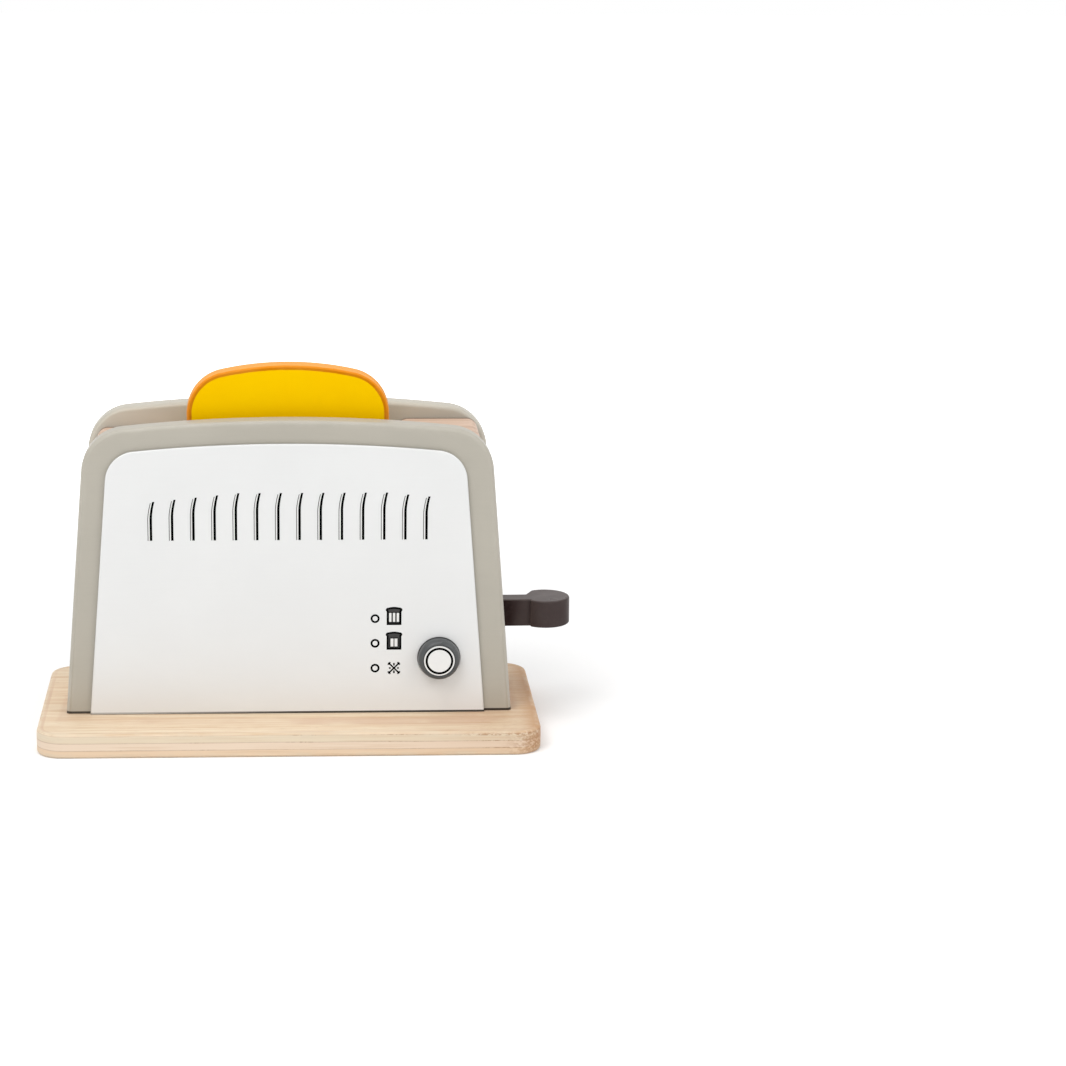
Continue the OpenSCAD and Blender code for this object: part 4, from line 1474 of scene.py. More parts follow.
@dataclass
class BaseBoard:
    """The ply base with its six countersunk screws."""

    corner_radius: float = 10.0 * MM
    top_radius: float = 1.3 * MM
    bottom_radius: float = 1.1 * MM
    screw_head: float = 7.0 * MM
    screw_shank: float = 3.5 * MM
    screw_length: float = 24.0 * MM
    screw_sink: float = 0.6 * MM
    head_clearance: float = 0.15 * MM
    shank_clearance: float = 0.05 * MM
    board_screw_x: float = 40.0 * MM
    wall_screw_x: float = 76.3 * MM

    def screw_places(self) -> list[Vector]:
        """Returns the six places, read from the boards that the screws hold."""
        ys = [middle_of(board).y for board in ("front_board", "back_board")]
        places = [(side * self.board_screw_x, y) for side in (-1, 1) for y in ys]
        places += [(side * self.wall_screw_x, middle_of("left_end_wall").y) for side in (-1, 1)]
        return [Vector((x, y, self.screw_sink)) for x, y in places]

    def _sink(self, place: Vector, top: float) -> Thing:
        """Returns the cutter of one screw's countersunk hole."""
        wide = self.screw_head / 2 + self.head_clearance
        narrow = self.screw_shank / 2 + self.shank_clearance
        profile = [
            (0.0, -PAST), (wide, -PAST), (wide, self.screw_sink), (narrow, self.screw_sink + wide - narrow),
            (narrow, top + PAST), (0.0, top + PAST),
        ]
        return lathe("sink_cutter", profile, Vector((place.x, place.y, 0)), UP, 48)

    def build(self) -> None:
        """Makes the base and its screws."""
        low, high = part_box("base_board")
        outline = rounded_rectangle(low.xy, high.xy, self.corner_radius, 16)
        slab = RoundedSlab(outline, low.z, high.z, Plane.LEVEL, self.bottom_radius, self.top_radius)
        base = slab.build("ply_base")
        carve(base, *(self._sink(place, high.z) for place in self.screw_places()))
        finish_piece(smooth(base), BASE_PLY, "housing", ["base_board"])
        screw = ScrewHead(self.screw_head, self.screw_shank, self.screw_length).build("base_screw")
        screws = copies_at("base_screw_set", screw, self.screw_places(), ZINC, (math.pi, 0.0, 0.0))
        finish_piece(screws, ZINC, "housing", ["base_screws"])


@dataclass
class Boards:
    """The front and back boards, the white panel, and the well that the button runs in."""

    lean: float = 4.522
    crown_radius: float = 590.0 * MM
    shoulder_radius: float = 17.0 * MM
    panel_shoulder_radius: float = 11.8 * MM
    edge_radius: float = 1.7 * MM
    panel_edge_radius: float = 0.55 * MM
    panel_groove: float = 0.4 * MM
    foot_share: float = 0.25
    panel_foot_share: float = 0.75
    panel_band: float = 0.4 * MM
    well_clearance: float = 0.14 * MM
    well_rim: float = 0.25 * MM
    well_back: float = -13.0 * MM
    stem_radius: float = 3.08 * MM

    def _outline(self, node: str, shoulder: float) -> list[Point]:
        """Returns the outline of a crowned node."""
        low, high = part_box(node)
        shape = CrownedShape((high.x - low.x) / 2, low.z, high.z, self.lean, self.crown_radius, shoulder)
        return [(x + middle_of(node).x, z) for x, z in shape.outline()]

    @staticmethod
    def _bore(name: str, profile: Sequence[Point], steps: int) -> Thing:
        """Returns a turned cutter on the button's axis."""
        knob = middle_of("button_knob")
        return lathe(name, profile, Vector((knob.x, 0.0, knob.z)), INWARDS, steps)

    def _well(self, front: float, back: float) -> Thing:
        """Returns the cutter of the button's well, flared at its mouth."""
        low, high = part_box("button_knob")
        r, rim = (high.x - low.x) / 2 + self.well_clearance, self.well_rim
        mouth = arc((r + rim, front + rim), rim, 270, 180, 4)
        profile = [(0.0, front - PAST), (r + rim, front - PAST), *mouth, (r, back), (0.0, back)]
        return self._bore("well_cutter", profile, 96)

    def _stem_hole(self, front: float, back: float) -> Thing:
        """Returns the cutter of the hole that the button's stem runs in."""
        profile = [(0.0, front), (self.stem_radius, front), (self.stem_radius, back), (0.0, back)]
        return self._bore("stem_cutter", profile, 48)

    def _board(self, name: str, node: str) -> Thing:
        """Returns the plain board that stands for a node."""
        low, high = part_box(node)
        outline = self._outline(node, self.shoulder_radius)
        edge = self.edge_radius
        return RoundedSlab(outline, low.y, high.y, Plane.UPRIGHT, edge, edge, self.foot_share).build(name)

    def build(self) -> None:
        """Makes both boards and the panel."""
        low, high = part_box("front_board")
        front = self._board("front_board_painted", "front_board")
        carve(front, self._well(low.y, self.well_back), self._stem_hole(self.well_back - PAST, high.y + PAST))
        finish_piece(smooth(front), GREY_PAINT, "housing", ["front_board"])
        back = self._board("back_board_painted", "back_board")
        finish_piece(smooth(back), BACK_GREY_LIT, "housing", ["back_board"])

        low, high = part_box("front_panel")
        panel = RoundedSlab(
            self._outline("front_panel", self.panel_shoulder_radius), low.y, high.y, Plane.UPRIGHT,
            self.panel_edge_radius, self.panel_groove, self.panel_foot_share, band=self.panel_band,
        ).build("white_panel")
        carve(panel, self._well(low.y, high.y + PAST))
        finish_piece(smooth(panel), WHITE_LACQUER, "housing", ["front_panel"])


@dataclass
class EndPieces:
    """The pale wood between the boards: top blocks, end walls and the divider of the two slots."""

    edge_radius: float = 0.5 * MM
    edge_band: float = 0.8 * MM
    block_slot_radius: float = 5.0 * MM
    block_end_radius: float = 4.0 * MM
    slot_corner_radius: float = 0.8 * MM
    slot_clearance: float = 0.35 * MM
    slot_past: float = 8.0 * MM
    wall_thickness: float = 8.0 * MM
    wall_corner_radius: float = 0.25 * MM
    divider_radius: float = 0.9 * MM

    def _slab(self, name: str, node: str, side: float, outline: Sequence[Point]) -> Thing:
        """Returns a straight-sided slab across the gap between the boards.

        Args:
            name: The piece's name.
            node: The node that it stands for.
            side: 1 for the right end, and -1 for the left end, where the outline is mirrored.
            outline: The outline at the right end, anticlockwise.

        Returns:
            The object.
        """
        low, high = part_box(node)
        if side < 0:
            outline = [(-x, z) for x, z in reversed(outline)]
        return RoundedSlab(
            outline, low.y, high.y, Plane.UPRIGHT, self.edge_radius, self.edge_radius, segments=3,
            band=self.edge_band,
        ).build(name)

    @staticmethod
    def _rounded(corners: Sequence[Point], radius: float, steps: int = 4) -> list[Point]:
        """Rounds each corner of a convex outline."""
        points = []
        for i, corner in enumerate(corners):
            here = Vector(corner)
            a = (Vector(corners[i - 1]) - here).normalized()
            b = (Vector(corners[(i + 1) % len(corners)]) - here).normalized()
            reach = radius / math.tan(a.angle(b) / 2)
            start, end = here + a * reach, here + b * reach
            for k in range(steps + 1):
                t = k / steps
                point = start * (1 - t) ** 2 + here * 2 * t * (1 - t) + end * t ** 2
                points.append((point.x, point.y))
        return points

    def _block(self, side: float, node: str, name: str) -> None:
        """Makes one top block, whose outer face leans with the boards."""
        low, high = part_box(node)
        inner, outer = sorted((abs(low.x), abs(high.x)))
        lean = math.radians(Boards.lean)
        slot_r, end_r = self.block_slot_radius, self.block_end_radius
        end_x = outer - (high.z - end_r - low.z) * math.tan(lean) - end_r / math.cos(lean)
        outline = [
            (inner, low.z), (outer, low.z),
            *arc((end_x, high.z - end_r), end_r, Boards.lean, 90, 10),
            *arc((inner + slot_r, high.z - slot_r), slot_r, 90, 180, 10),
        ]
        block = self._slab(name, node, side, outline)
        finish_piece(smooth(block), BLOCK_WOOD, "housing", [node])

    def _wall(self, side: float, node: str, name: str) -> None:
        """Makes one end wall; the right one has the lever's slot."""
        low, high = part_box(node)
        outer = max(abs(low.x), abs(high.x))
        lean = (high.z - low.z) * math.tan(math.radians(Boards.lean))
        corners = [
            (outer - self.wall_thickness, low.z), (outer, low.z), (outer - lean, high.z),
            (outer - lean - self.wall_thickness, high.z),
        ]
        wall = self._slab(name, node, side, self._rounded(corners, self.wall_corner_radius))
        if side > 0:
            carve(wall, self._lever_slot())
        finish_piece(smooth(wall), PALE_WOOD, "housing", [node])

    def _lever_slot(self) -> Thing:
        """Returns the cutter of the lever's slot, with rounded corners."""
        openings = {item["name"]: item["box_m"] for item in frame["record"]["physics"]["openings"]}
        low, high = openings["lever_slot"]
        outline = rounded_rectangle(
            (low[1] - self.slot_clearance, Lever.slot_low), (high[1] + self.slot_clearance, Lever.slot_high),
            self.slot_corner_radius, 4,
        )
        form = bmesh.new()
        add_prism(form, outline, Plane.SIDEWAYS, low[0] - self.slot_past, high[0] + self.slot_past)
        return as_object(form, "slot_cutter")

    def build(self) -> None:
        """Makes the blocks, the walls and the divider."""
        self._block(1.0, "right_top_block", "right_block")
        self._block(-1.0, "left_top_block", "left_block")
        self._wall(1.0, "right_end_wall", "right_wall")
        self._wall(-1.0, "left_end_wall", "left_wall")
        low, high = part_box("slot_divider")
        rail = rounded_box("divider_rail", low, high, self.divider_radius, Plane.UPRIGHT)
        finish_piece(smooth(rail), PALE_WOOD_LEVEL, "housing", ["slot_divider"])


@dataclass(frozen=True)
class VentMark:
    """One of the marks that each printed vent is made of."""

    name: str
    finish: Finish
    width: float
    shift: float = 0.0
    shorter: float = 0.0
    taper: float = 0.0
    extra_ink: float = 0.0


@dataclass(frozen=True)
class SliceIcon:
    """The sizes of one printed slice of bread."""

    bars: int
    bar_width: float
    bar_step: float
    bar_top: float


def printed_ring(name: str, radius: float, line: float, thickness: float, centre: Vector) -> Thing:
    """Returns a printed ring, standing towards the front."""
    inner, outer = radius - line / 2, radius + line / 2
    section = rectangle((inner, 0.0), (outer, thickness))
    return lathe(name, [*section, section[0]], centre, -INWARDS, 64)


@dataclass
class Prints:
    """What is printed on the panel: the vents, three rings and three plain pictograms."""

    ink: float = 0.05 * MM
    sunk: float = 0.01 * MM
    vent_count: int = 14
    vent_pitch: float = 7.97 * MM
    vent_foot: float = 77.6 * MM
    vent_height: float = 18.2 * MM
    vent_shift: float = 0.15 * MM
    vent_level_middle: float = 8.1 * MM
    vent_level_half: float = 27.8 * MM
    vent_drop: float = 0.1
    vent_bend_height: float = 6.6 * MM
    vent_bend_reach: float = 1.05 * MM
    vent_marks: tuple[VentMark, ...] = (
        VentMark("vent_fill", WHITE_INK, 1.2 * MM, shift=-0.6 * MM, shorter=0.5 * MM),
        VentMark("vent_line", GREY_INK, 0.3 * MM, shift=-1.1 * MM, shorter=0.5 * MM, extra_ink=0.2),
        VentMark("vent_stroke", BLACK_INK, 0.92 * MM, taper=0.15, extra_ink=0.4),
    )
    ring_x: float = 32.65 * MM
    icon_x: float = 39.85 * MM
    ring_levels: tuple[float, ...] = (46.65 * MM, 36.9 * MM, 27.05 * MM)
    ring_radius: float = 1.35 * MM
    ring_line: float = 0.74 * MM
    slice_icons: tuple[SliceIcon, ...] = (
        SliceIcon(3, 0.9 * MM, 1.44 * MM, 1.3 * MM), SliceIcon(2, 1.15 * MM, 1.5 * MM, 0.95 * MM),
    )
    slice_rise: float = 0.9 * MM
    slice_border: float = 0.72 * MM
    bar_foot: float = 2.2 * MM
    field_rim: float = 0.34 * MM
    star_reach: float = 3.0 * MM
    fork_from: float = 0.76
    fork_reach: float = 0.26
    fork_angle: float = 55.0

    def _front(self) -> float:
        """Returns the plane that the ink starts at, just inside the panel's face."""
        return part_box("front_panel")[0].y + self.sunk

    def _vents(self) -> None:
        """Prints the vents: a white fill, a thin grey left line and a thick black stroke."""
        shared = {
            "Count": self.vent_count, "Pitch": self.vent_pitch, "Foot": self.vent_foot,
            "Level_Middle": self.vent_level_middle, "Level_Half": self.vent_level_half,
            "Drop": self.vent_drop, "Bend_Height": self.vent_bend_height,
            "Bend_Reach": self.vent_bend_reach, "Front": self._front(),
        }
        tool = VentTool()
        for mark in self.vent_marks:
            vents = tool.make(
                mark.name, mark.finish, Width=mark.width, Height=self.vent_height - mark.shorter,
                Taper=mark.taper, Shift=self.vent_shift + mark.shift,
                Thickness=self.ink * (1.0 + mark.extra_ink), **shared,
            )
            finish_piece(vents, mark.finish, "housing")

    def _rings(self) -> None:
        """Prints the three small rings."""
        ring = printed_ring("ring_shape", self.ring_radius, self.ring_line, self.ink, Vector())
        places = [Vector((self.ring_x, self._front(), z)) for z in self.ring_levels]
        finish_piece(copies_at("printed_rings", ring, places, BLACK_INK), BLACK_INK, "housing")

    @staticmethod
    def _slice_outline(x: float, z: float) -> list[Point]:
        """Returns the outline of a small slice of bread round its middle."""
        body, cap, corner = 2.8 * MM, 3.15 * MM, 0.85 * MM
        foot, neck, side = z - 3.45 * MM, z + 1.85 * MM, z + 2.5 * MM
        crown_middle, crown_radius = z - 4.4 * MM, 8.05 * MM
        return [
            (x - body, foot), (x + body, foot), (x + body, neck),
            *arc((x + cap - corner, side), corner, -35, 80, 5),
            *arc((x, crown_middle), crown_radius, 75, 105, 6),
            *arc((x - cap + corner, side), corner, 100, 215, 5), (x - body, neck),
        ]

    def _print(self, name: str, finish: Finish, outline: Sequence[Point], layer: int) -> None:
        """Prints one closed shape, a little prouder for each layer below it."""
        form = bmesh.new()
        front = self._front()
        add_prism(form, outline, Plane.UPRIGHT, front - self.ink * (1.0 + 0.2 * layer), front)
        finish_piece(as_object(form, name), finish, "housing")

    def _slice(self, level: float, icon: SliceIcon) -> None:
        """Prints a slice with its bars; a grey band runs inside its outline."""
        middle = level + self.slice_rise
        name = f"printed_slice_{icon.bars}"
        shape = self._slice_outline(self.icon_x, middle)
        self._print(name, BLACK_INK, shape, 0)
        self._print(name + "_band", DARK_INK, inset_outline(shape, self.slice_border), 1)
        half, low, high = icon.bar_width / 2, middle - self.bar_foot, middle + icon.bar_top
        last = (icon.bars - 1) / 2
        reach = last * icon.bar_step + half + self.field_rim
        field = rectangle(
            (self.icon_x - reach, low - self.field_rim), (self.icon_x + reach, high + self.field_rim)
        )
        self._print(name + "_field", BLACK_INK, field, 2)
        for i in range(icon.bars):
            x = self.icon_x + (i - last) * icon.bar_step
            self._print(f"{name}_bar_{i + 1}", WHITE_INK, rectangle((x - half, low), (x + half, high)), 3)

    def _star_strokes(self) -> list[tuple[Point, float, float, float]]:
        """Returns the star's strokes: where each starts, its angle, its length and its half width."""
        reach = self.star_reach
        level_arm, upright_arm = (1.2 * MM, 0.7 * MM, 0.28 * MM), (1.0 * MM, 1.0 * MM, 0.3 * MM)
        strokes = []
        for k in range(4):
            a, b = math.radians(45 + 90 * k), math.radians(90 * k)
            strokes.append(((0.0, 0.0), a, reach, 0.29 * MM))
            away = self.fork_from * reach
            fork = (away * math.cos(a), away * math.sin(a))
            for turn in (-self.fork_angle, self.fork_angle):
                strokes.append((fork, a + math.radians(turn), self.fork_reach * reach, 0.25 * MM))
            start, length, half = upright_arm if k % 2 else level_arm
            strokes.append(((start * math.cos(b), start * math.sin(b)), b, length, half))
        return strokes

    def _star(self) -> None:
        """Prints the frost star: four long forked arms and four short ones."""
        middle = Vector((self.icon_x, self.ring_levels[2]))
        form = bmesh.new()
        front = self._front()
        for layer, (start, angle, length, half) in enumerate(self._star_strokes()):
            origin = middle + Vector(start)
            way = Vector((math.cos(angle), math.sin(angle)))
            side = Vector((-way.y, way.x)) * half
            end = origin + way * length
            deep = self.ink * (1.0 + 0.02 * layer)
            corners = (origin - side, end - side, end + side, origin + side)
            add_prism(form, corners, Plane.UPRIGHT, front - deep, front)
        finish_piece(as_object(form, "printed_star"), BLACK_INK, "housing")

    def build(self) -> None:
        """Prints everything on the panel."""
        self._vents()
        self._rings()
        for level, icon in zip(self.ring_levels, self.slice_icons):
            self._slice(level, icon)
        self._star()


@dataclass
class Lever:
    """The charcoal handle, with its screws; the arm inside keeps its own shape."""

    elbow: Point = (64.03 * MM, 41.95 * MM)
    tilt: float = 0.3
    middle: float = 6.25 * MM
    thickness: float = 8.4 * MM
    height: float = 10.7 * MM
    lap_start: float = 2.2 * MM
    lap_end: float = 16.0 * MM
    lap_gap: float = 0.01 * MM
    lap_radius: float = 0.3 * MM
    head_reach: float = 35.9 * MM
    head_radius: float = 9.5 * MM
    head_flat: float = 6.3 * MM
    head_set_back: float = 1.8 * MM
    shoulder_in: float = 1.4 * MM
    shoulder_out: float = 1.3 * MM
    edge_radius: float = 0.85 * MM
    slot_low: float = 35.4 * MM
    slot_high: float = 74.9 * MM

    def _outline(self) -> list[Point]:
        """Returns the neck and the round head seen from above, along the handle."""
        half = self.thickness / 2
        front_reach = math.degrees(math.acos(-self.head_flat / self.head_radius))
        back_reach = math.degrees(math.acos((self.shoulder_in - self.head_flat) / self.head_radius))
        flat = self.head_reach - self.head_flat
        head = arc((self.head_reach, self.head_set_back), self.head_radius, -front_reach, back_reach, 56)
        return [
            (self.lap_end, -half), (flat, -half), *head, (flat - self.shoulder_out, half),
            (self.lap_end, half),
        ]

    def _rounded_prism(self) -> Thing:
        """Returns the neck and the head with rounded edges, level and at the origin."""
        form = bmesh.new()
        layer = form.verts.layers.float.new("edge")
        top = self.height / 2
        faces = add_prism(form, self._outline(), Plane.LEVEL, -top, top)
        bmesh.ops.recalc_face_normals(form, faces=faces)
        rims = [edge for end in faces[:2] for edge in end.edges]
        before = set(form.verts)
        bmesh.ops.bevel(
            form, geom=rims, offset=self.edge_radius, segments=4, profile=0.5, affect="EDGES",
            clamp_overlap=True,
        )
        for vert in form.verts:
            if vert not in before or abs(abs(vert.co.z) - top) < 2 * self.edge_radius:
                vert[layer] = 1.0
        return as_object(form, "handle_painted")

    def _handle(self) -> Thing:
        """Returns the handle in its place, with the lap that the arm is screwed to."""
        handle = self._rounded_prism()
        low = Vector((self.lap_start, 0.0, -self.height / 2))
        high = Vector((self.lap_end - self.lap_gap, self.thickness / 2, self.height / 2))
        lap = rounded_box("handle_lap", low, high, self.lap_radius, Plane.LEVEL)
        form = bmesh.new()
        form.from_mesh(handle.data)
        form.from_mesh(lap.data)
        form.to_mesh(handle.data)
        form.free()
        discard(lap)
        elbow = Matrix.Translation((self.elbow[0], self.middle, self.elbow[1]))
        handle.data.transform(elbow @ Matrix.Rotation(-math.radians(self.tilt), 4, "Y"))
        return handle

    def build(self) -> None:
        """Makes the handle and dresses what lies inside."""
        finish_piece(smooth(self._handle()), CHARCOAL, "lever", ["lever_handle"])
        dress("lever_arm", LEVER_PLY)
        for node in ("handle_screws", "lift_pin", "pivot_pin"):
            dress(node, ZINC)
        dress("pivot_sleeves", DARK_PLASTIC)


def finish_spring(spring: Thing, node: str, body: str) -> None:
    """Bakes a wound spring's place into its mesh, in place of a node that it hides.

    Args:
        spring: The spring.
        node: The node that it stands for.
        body: The body at its moving end.
    """
    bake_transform(spring)
    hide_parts(node)
    LOG.info("%s: between housing and %s", spring.name, body)


@dataclass
class Button:
    """The push button: a turned knob with a printed white disc, its spring and its magnet holder."""

    face_radius: float = 6.4 * MM
    shoulder: float = 3.5 * MM
    shoulder_steps: int = 12
    head_length: float = 7.0 * MM
    back_edge: float = 0.4 * MM
    stem_radius: float = 3.0 * MM
    stem_edge: float = 0.3 * MM
    disc_radius: float = 5.85 * MM
    disc_depth: float = 0.4 * MM
    disc_edge: float = 0.12 * MM
    disc_gap: float = 0.35 * MM
    print_radius: float = 4.85 * MM
    print_line: float = 0.85 * MM
    print_ink: float = 0.05 * MM
    print_sunk: float = 0.01 * MM
    wire_radius: float = 0.3 * MM
    spring_turns: float = 3.6

    def _knob(self, centre: Vector, radius: float, length: float) -> Thing:
        """Returns the knob: recess, rounded face edge, shoulder, head and stem."""
        recess = self.disc_radius + self.disc_gap
        lip = (self.face_radius - recess) / 2
        profile = [(0.0, self.disc_depth), (recess, self.disc_depth)]
        profile += arc((recess + lip, lip), lip, 180, 270, 4)
        span = radius - self.face_radius
        for i in range(self.shoulder_steps + 1):
            a = QUARTER * i / self.shoulder_steps
            profile.append((self.face_radius + span * math.sin(a), self.shoulder * (1 - math.cos(a))))
        profile += [
            (radius, self.head_length - self.back_edge), (radius - self.back_edge, self.head_length),
            (self.stem_radius, self.head_length), (self.stem_radius, length - self.stem_edge),
            (self.stem_radius - self.stem_edge, length), (0.0, length),
        ]
        return lathe("button_turned", profile, centre, INWARDS, 128)

    def _disc(self, centre: Vector) -> Thing:
        """Returns the white disc in the knob's recess."""
        r, edge = self.disc_radius, self.disc_edge
        profile = [
            (0.0, 0.0), (r - edge, 0.0), (r - 0.3 * edge, 0.3 * edge), (r, edge), (r, self.disc_depth),
            (0.0, self.disc_depth),
        ]
        return lathe("button_disc", profile, centre, INWARDS)

    def build(self) -> None:
        """Makes the knob, the disc, its printed ring and the spring."""
        low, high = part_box("button_knob")
        centre = middle_of("button_knob")
        centre.y = low.y
        knob = self._knob(centre, (high.x - low.x) / 2, high.y - low.y)
        finish_piece(smooth(knob, 50.0), BUTTON_GREY, "button", ["button_knob"])
        finish_piece(smooth(self._disc(centre)), BUTTON_WHITE, "button", ["button_face"])
        front = centre + INWARDS * self.print_sunk
        ring = printed_ring("button_ring", self.print_radius, self.print_line, self.print_ink, front)
        finish_piece(ring, BLACK_INK, "button")

        low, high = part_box("button_spring")
        gap = self.wire_radius
        spring = coil_tool().make(
            "button_spring_wound", SPRING_STEEL, Turns=self.spring_turns,
            Coil_Radius=(high.x - low.x) / 2 - 2 * self.wire_radius, Wire_Radius=self.wire_radius,
            Length=high.y - low.y - 2 * gap, Place=(centre.x, low.y + gap, centre.z),
            Turn=(-QUARTER, 0.0, 0.0),
        )
        finish_spring(spring, "button_spring", "button")
        dress("magnet_holder", DARK_PLASTIC)
        dress("holder_magnet", NICKEL)
        dress("holder_screw", ZINC)


@dataclass
class Carriage:
    """What lifts the slice: trays and block as they are, with wound springs round the rods."""

    wire_radius: float = 0.5 * MM
    spring_turns: float = 9.5

    def _spring(self, name: str, node: str) -> None:
        """Winds one lift spring, which stretches between the base and the block."""
        low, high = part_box(node)
        middle = middle_of(node)
        gap = self.wire_radius
        spring = coil_tool().make(
            name, SPRING_STEEL, Turns=self.spring_turns,
            Coil_Radius=(high.x - low.x) / 2 - 1.2 * self.wire_radius, Wire_Radius=self.wire_radius,
            Length=high.z - low.z - 2 * gap, Place=(middle.x, middle.y, low.z + gap),
        )
        finish_spring(spring, node, "carriage")

    def build(self) -> None:
        """Winds the springs and dresses the rest."""
        self._spring("front_spring_wound", "front_lift_spring")
        self._spring("back_spring_wound", "back_lift_spring")
        for node, finish in (
            ("carriage_block", PALE_PLASTIC), ("front_tray", LEVER_PLY), ("back_tray", LEVER_PLY),
            ("tray_screws", ZINC), ("carriage_magnet", NICKEL), ("guide_rods", ZINC), ("stop_pads", FELT),
            ("cross_dowels", PALE_WOOD),
        ):
            dress(node, finish)


@dataclass
class Toast:
    """The slice of play toast."""

    crown_radius: float = 117.0 * MM
    shoulder_radius: float = 16.5 * MM
    foot_radius: float = 7.0 * MM
    edge_radius: float = 1.3 * MM
    inner_band: float = 1.2 * MM

    def build(self) -> None:
        """Makes the slice in the front slot."""
        low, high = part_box("toast_slice")
        half = (high.x - low.x) / 2
        shape = CrownedShape(half, low.z, high.z, 0.0, self.crown_radius, self.shoulder_radius).outline()
        r, edge = self.foot_radius, self.edge_radius
        right = arc((half - r, low.z + r), r, -90, 0, 12)
        left = arc((r - half, low.z + r), r, 180, 270, 12)
        slab = RoundedSlab(
            [*right, *shape[1:-1], *left], low.y, high.y, Plane.UPRIGHT, edge, edge,
            band=ToastPaint.crust_width + self.inner_band - edge,
        )
        finish_piece(smooth(slab.build("toast")), TOAST, "toast", ["toast_slice"])


# ---- studio

def stand(name: str, data: bpy.types.Camera | bpy.types.Light) -> Thing:
    """Puts a camera or a lamp in the scene."""
    thing = bpy.data.objects.new(name, data)
    bpy.context.scene.collection.objects.link(thing)
    return thing


@dataclass(frozen=True)
class Lamp:
    """One square soft lamp that points at the object."""

    name: str
    place: Triple
    size: float
    power: float
    aim: Triple = (0.0, 0.0, 0.06)

    def hang(self) -> None:
        """Hangs the lamp in its place."""
        data = bpy.data.lights.new(self.name, "AREA")
        data.shape = "SQUARE"
        data.size = self.size
        data.energy = self.power
        thing = stand(self.name, data)
        thing.location = self.place
        way = Vector(self.aim) - Vector(self.place)
        thing.rotation_mode = "QUATERNION"
        thing.rotation_quaternion = way.to_track_quat("-Z", "Y")


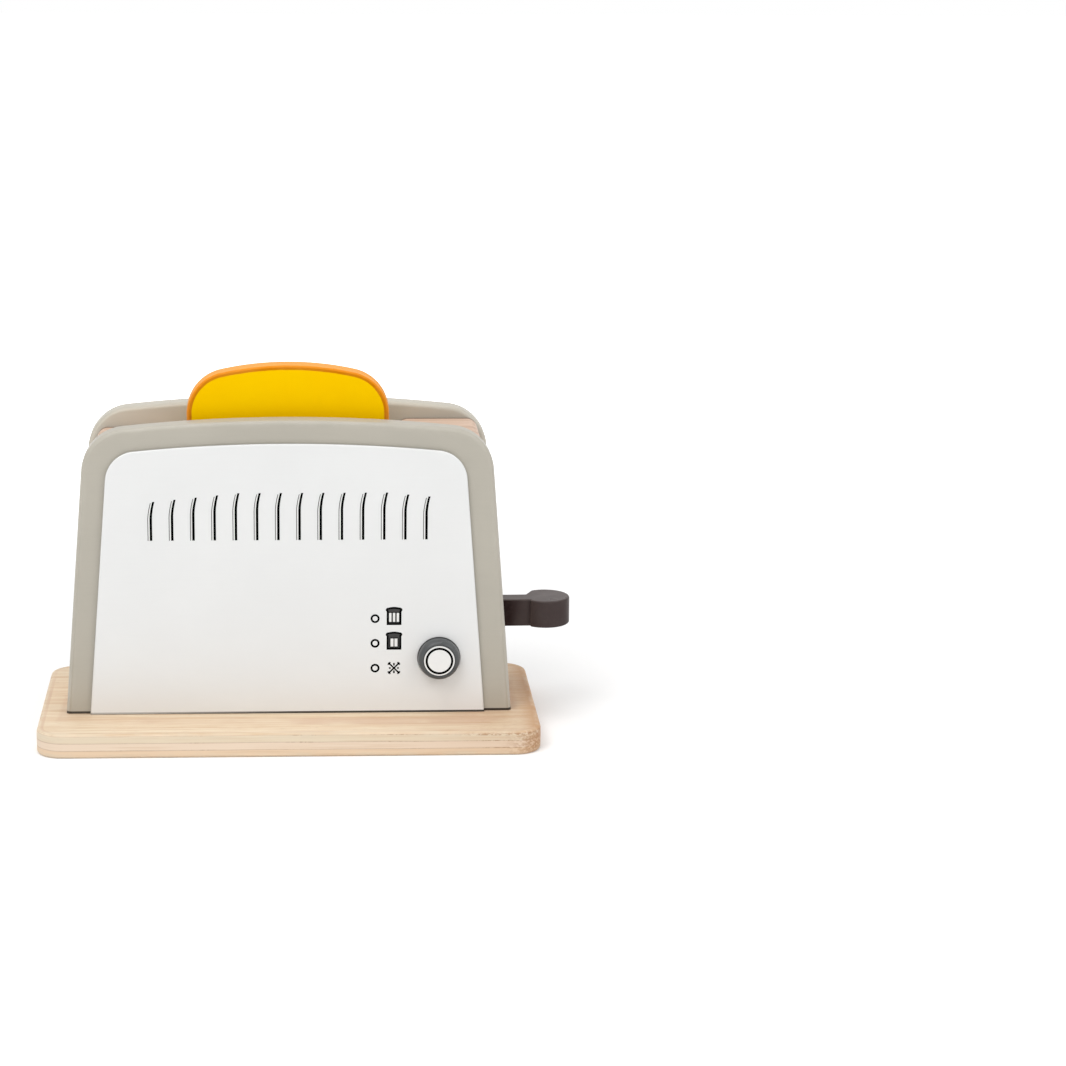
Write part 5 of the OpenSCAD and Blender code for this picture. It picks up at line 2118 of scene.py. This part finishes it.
@dataclass
class Studio:
    """Camera, floor and lamps."""

    lens: float = 98.2
    sensor: float = 36.0
    clip: Point = (0.01, 50.0)
    frame_pixels: float = 1066.0
    focal_pixels: float = 2908.0
    eye: Triple = (0.0, -1.0845, 0.345)
    pitch: float = 13.989
    roll: float = 0.3
    middle_pixel: float = 288.6
    shift: float = 0.10
    floor_half: float = 4.0
    white: Colour = (0.90, 0.90, 0.90)
    lift_near: float = 0.13
    lift_from: float = 0.16
    lift_to: float = 0.75
    room_light: float = 0.56
    lamps: tuple[Lamp, ...] = (
        Lamp("key", (-0.95, -1.25, 2.05), 1.2, 19.0),
        Lamp("fill", (1.5, -1.0, 1.3), 1.2, 9.0),
        Lamp("top", (-0.3, -0.3, 2.0), 1.5, 12.0),
    )

    def camera(self) -> None:
        """Sets the camera up at the photograph's viewing angle.

        The object stands left of the frame's middle, part of it by shift and the rest by turning.
        """
        data = bpy.data.cameras.new("camera")
        data.lens = self.lens
        data.sensor_width = self.sensor
        data.shift_x = self.shift
        data.clip_start, data.clip_end = self.clip
        thing = stand("camera", data)
        rest = self.frame_pixels / 2 - self.middle_pixel - self.shift * self.frame_pixels
        turn = math.atan(rest / self.focal_pixels)
        tilt = Matrix.Rotation(QUARTER - math.radians(self.pitch), 4, "X")
        aside = Matrix.Rotation(-turn, 4, "Y") @ Matrix.Rotation(-math.radians(self.roll), 4, "Z")
        thing.matrix_world = Matrix.Translation(self.eye) @ tilt @ aside
        bpy.context.scene.camera = thing

    @staticmethod
    def _seen_share(graph: Graph) -> Socket:
        """Returns 1 for camera, mirror and see-through rays, and 0 for light."""
        path = graph.add("ShaderNodeLightPath")
        seen = graph.math("MAXIMUM", path.outputs["Is Camera Ray"], path.outputs["Is Glossy Ray"])
        return graph.math("MAXIMUM", seen, path.outputs["Is Transmission Ray"])

    def floor(self) -> None:
        """Lays the pale floor, which keeps a soft shadow."""
        mesh = bpy.data.meshes.new("floor")
        corners = rectangle((-self.floor_half, -self.floor_half), (self.floor_half, self.floor_half))
        mesh.from_pydata([(x, y, 0.0) for x, y in corners], [], [(0, 1, 2, 3)])
        material = bpy.data.materials.new("floor")
        graph = Graph.emptied(material)
        point = graph.object_point()
        paper = graph.noise(point, 400.0, 3.0)
        tone = graph.blend(graph.ramp(paper, 0.3, 0.7), self.white, toned(self.white, 0.985))
        matt = graph.add("ShaderNodeBsdfDiffuse", {"Color": tone})
        rise = graph.ramp(graph.length(point), self.lift_from, self.lift_to, self.lift_near, 1.0)
        lift = graph.add("ShaderNodeEmission", {
            "Color": (1.0, 1.0, 1.0), "Strength": graph.product(self._seen_share(graph), rise),
        })
        both = graph.add("ShaderNodeAddShader", {0: matt.outputs[0], 1: lift.outputs[0]})
        graph.add("ShaderNodeOutputMaterial", {"Surface": both.outputs[0]})
        mesh.materials.append(material)
        show(mesh)

    def world(self) -> None:
        """Fills the room with soft white light, and shows as white behind the object."""
        world = bpy.data.worlds.new("studio")
        graph = Graph.emptied(world)
        strength = graph.ramp(self._seen_share(graph), 0.0, 1.0, self.room_light, 1.0)
        back = graph.add("ShaderNodeBackground", {"Color": (1.0, 1.0, 1.0), "Strength": strength})
        graph.add("ShaderNodeOutputWorld", {"Surface": back.outputs[0]})
        bpy.context.scene.world = world

    def build(self) -> None:
        """Sets up the whole studio."""
        self.camera()
        self.floor()
        self.world()
        for lamp in self.lamps:
            lamp.hang()
        bpy.context.scene.view_settings.view_transform = "Standard"


def main() -> None:
    """Builds the studio and every sub-assembly."""
    logging.basicConfig(level=logging.INFO, format="%(name)s: %(message)s")
    Studio().build()
    for part in (BaseBoard(), Boards(), EndPieces(), Prints(), Lever(), Button(), Carriage(), Toast()):
        LOG.info("building %s", type(part).__name__)
        part.build()


if __name__ == "__main__":
    main()
